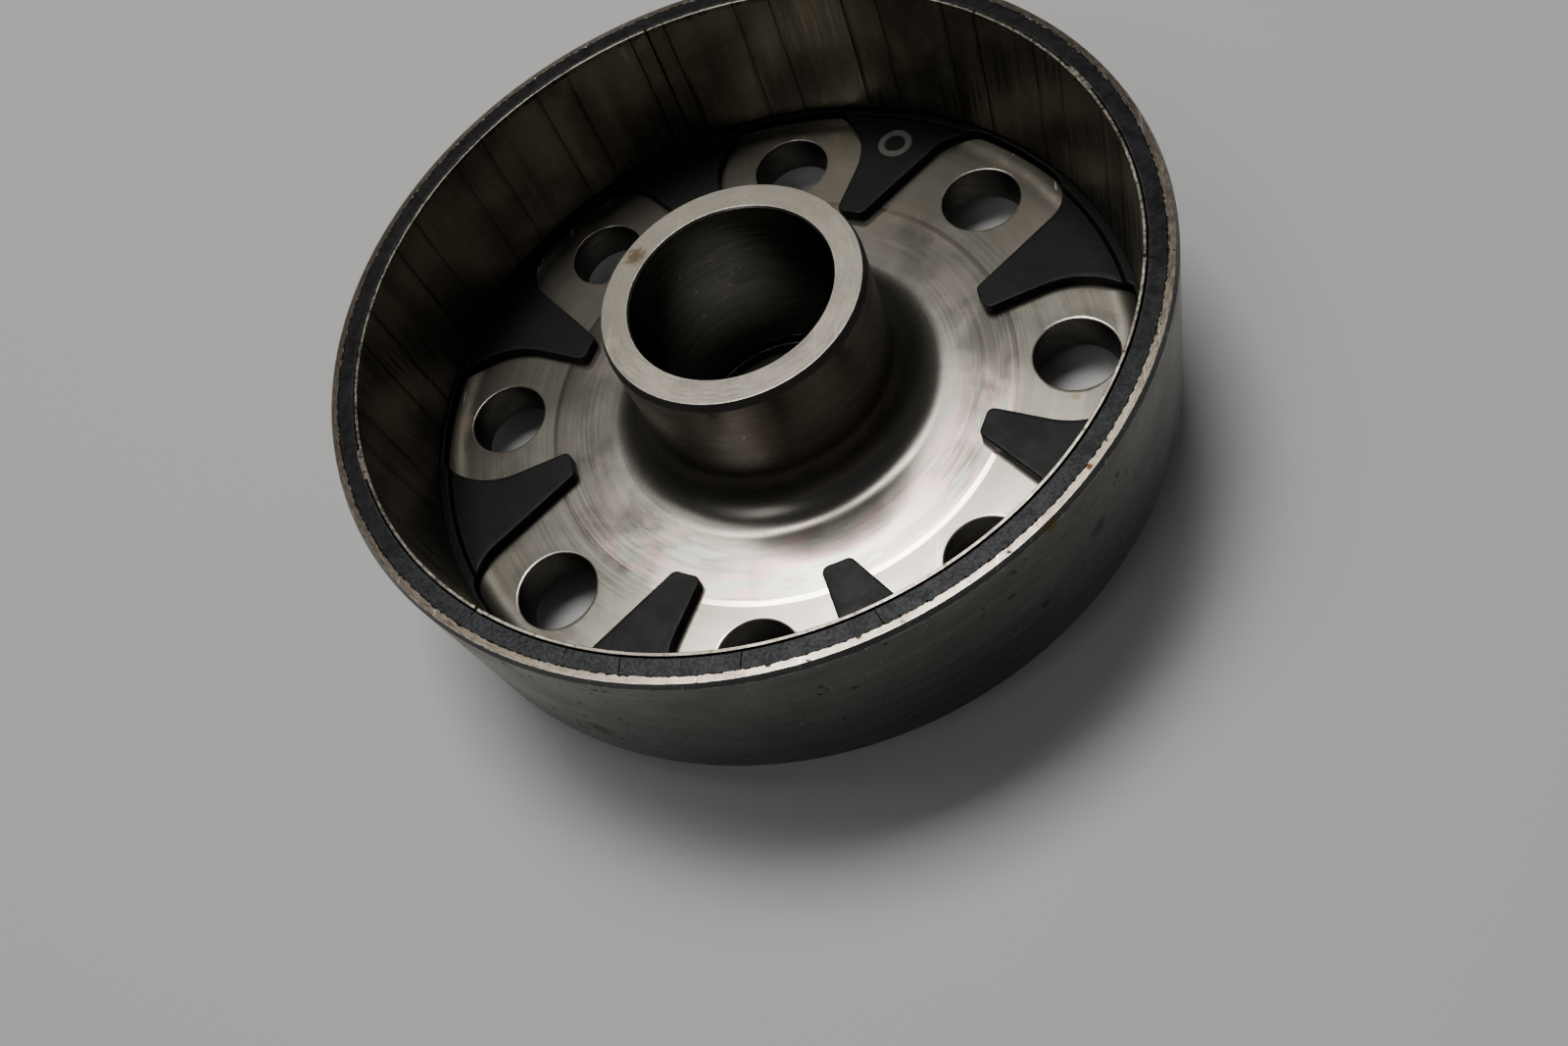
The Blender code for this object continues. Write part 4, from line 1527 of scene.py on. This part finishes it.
@dataclass
class Studio:
    """The pale floor, the soft lights and the camera."""

    floor_size: float = 3.0
    floor_colour: Colour = (0.72, 0.72, 0.715)
    world_colour: Colour = (0.30, 0.31, 0.32)
    world_strength: float = 0.27
    camera_place: tuple[float, float, float] = (0.056275, -0.124982, 0.183854)
    camera_target: tuple[float, float, float] = (0.00561, -0.03130, 0.020)
    camera_roll: float = -29.37
    lens: float = 30.19
    lights: tuple[SoftBox, ...] = field(default_factory=lambda: (
        SoftBox("overhead_box", 113.0, 71.0, 1.3, 0.54, 0.42, 6.8),
        SoftBox("side_box", 168.0, 62.0, 1.3, 0.5, 0.45, 0.9),
        SoftBox("far_box", 114.0, 42.5, 1.3, 0.30, 0.28, 0.2),
        SoftBox("near_box", -118.0, 50.0, 1.3, 0.5, 0.4, 0.8, (1.0, 1.0, 1.0)),
    ))

    def build(self) -> None:
        """Add everything around the rotor."""
        self._add_floor()
        self._add_world()
        for light in self.lights:
            light.build(Vector((0.0, 0.0, 0.02)))
        self._add_camera()
        bpy.context.scene.view_settings.look = "AgX - Medium High Contrast"

    def _add_floor(self) -> None:
        """Add the plain floor plane."""
        half = self.floor_size / 2
        mesh = bpy.data.meshes.new("floor")
        corners = [(-half, -half, 0.0), (half, -half, 0.0), (half, half, 0.0), (-half, half, 0.0)]
        mesh.from_pydata(corners, [], [(0, 1, 2, 3)])
        material = bpy.data.materials.new("pale_floor")
        material.use_nodes = True
        shader = material.node_tree.nodes["Principled BSDF"]
        shader.inputs["Base Color"].default_value = (*self.floor_colour, 1.0)
        shader.inputs["Roughness"].default_value = 0.55
        mesh.materials.append(material)
        floor = bpy.data.objects.new("studio_floor", mesh)
        bpy.context.scene.collection.objects.link(floor)

    def _add_world(self) -> None:
        """Set the even grey surroundings."""
        world = bpy.data.worlds.new("studio")
        world.use_nodes = True
        background = world.node_tree.nodes["Background"]
        background.inputs["Color"].default_value = (*self.world_colour, 1.0)
        background.inputs["Strength"].default_value = self.world_strength
        bpy.context.scene.world = world

    def _add_camera(self) -> None:
        """Add the camera, aimed at its target and rolled about its own axis."""
        place, target = Vector(self.camera_place), Vector(self.camera_target)
        ahead = (target - place).normalized()
        level = ahead.cross(Vector((0.0, 0.0, 1.0))).normalized()
        rise = level.cross(ahead)
        roll = math.radians(self.camera_roll)
        right = level * math.cos(roll) + rise * math.sin(roll)
        up = rise * math.cos(roll) - level * math.sin(roll)
        data = bpy.data.cameras.new("camera")
        data.lens = self.lens
        data.sensor_width = 36.0
        data.clip_start = 0.01
        camera = bpy.data.objects.new("camera", data)
        turn = Matrix((right, up, -ahead)).transposed()
        camera.matrix_world = Matrix.Translation(place) @ turn.to_4x4()
        bpy.context.scene.collection.objects.link(camera)
        bpy.context.scene.camera = camera


def dress_magnets(nodes: dict[str, bpy.types.Object], effects: Effects) -> None:
    """Give every magnet its sintered finish."""
    material = SinteredMagnet("sintered_magnet").build(effects)
    magnets = [node for name, node in nodes.items() if name.startswith("magnet_")]
    for magnet in magnets:
        magnet.data.materials.clear()
        magnet.data.materials.append(material)
    LOG.info("%d magnets keep their solids", len(magnets))


def main() -> None:
    """Build the rotor's pieces in order, then the studio."""
    logging.basicConfig(level=logging.INFO, format="%(name)s: %(message)s")
    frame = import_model()
    effects = Effects()
    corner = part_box("steel_cup")[1]
    guard_low, guard_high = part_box("guard_ring")
    cup = SteelCup(outer_r=corner.x, top_z=corner.z)
    pieces = (
        (cup, CUP_FINISHES, "steel_cup", "turned_steel"),
        (ResinMoulding(cup), RESIN_FINISHES, "resin_moulding", "black_resin"),
        (GuardRing(guard_low.z, guard_high.z), GUARD_FINISHES, "guard_ring", "stainless_strip"),
    )
    for part, finishes, node, slot in pieces:
        piece = part.build([finish.build(effects) for finish in finishes])
        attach(piece, "root")
        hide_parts(node)
    dress_magnets(frame["nodes"], effects)
    Studio().build()


if __name__ == "__main__":
    main()
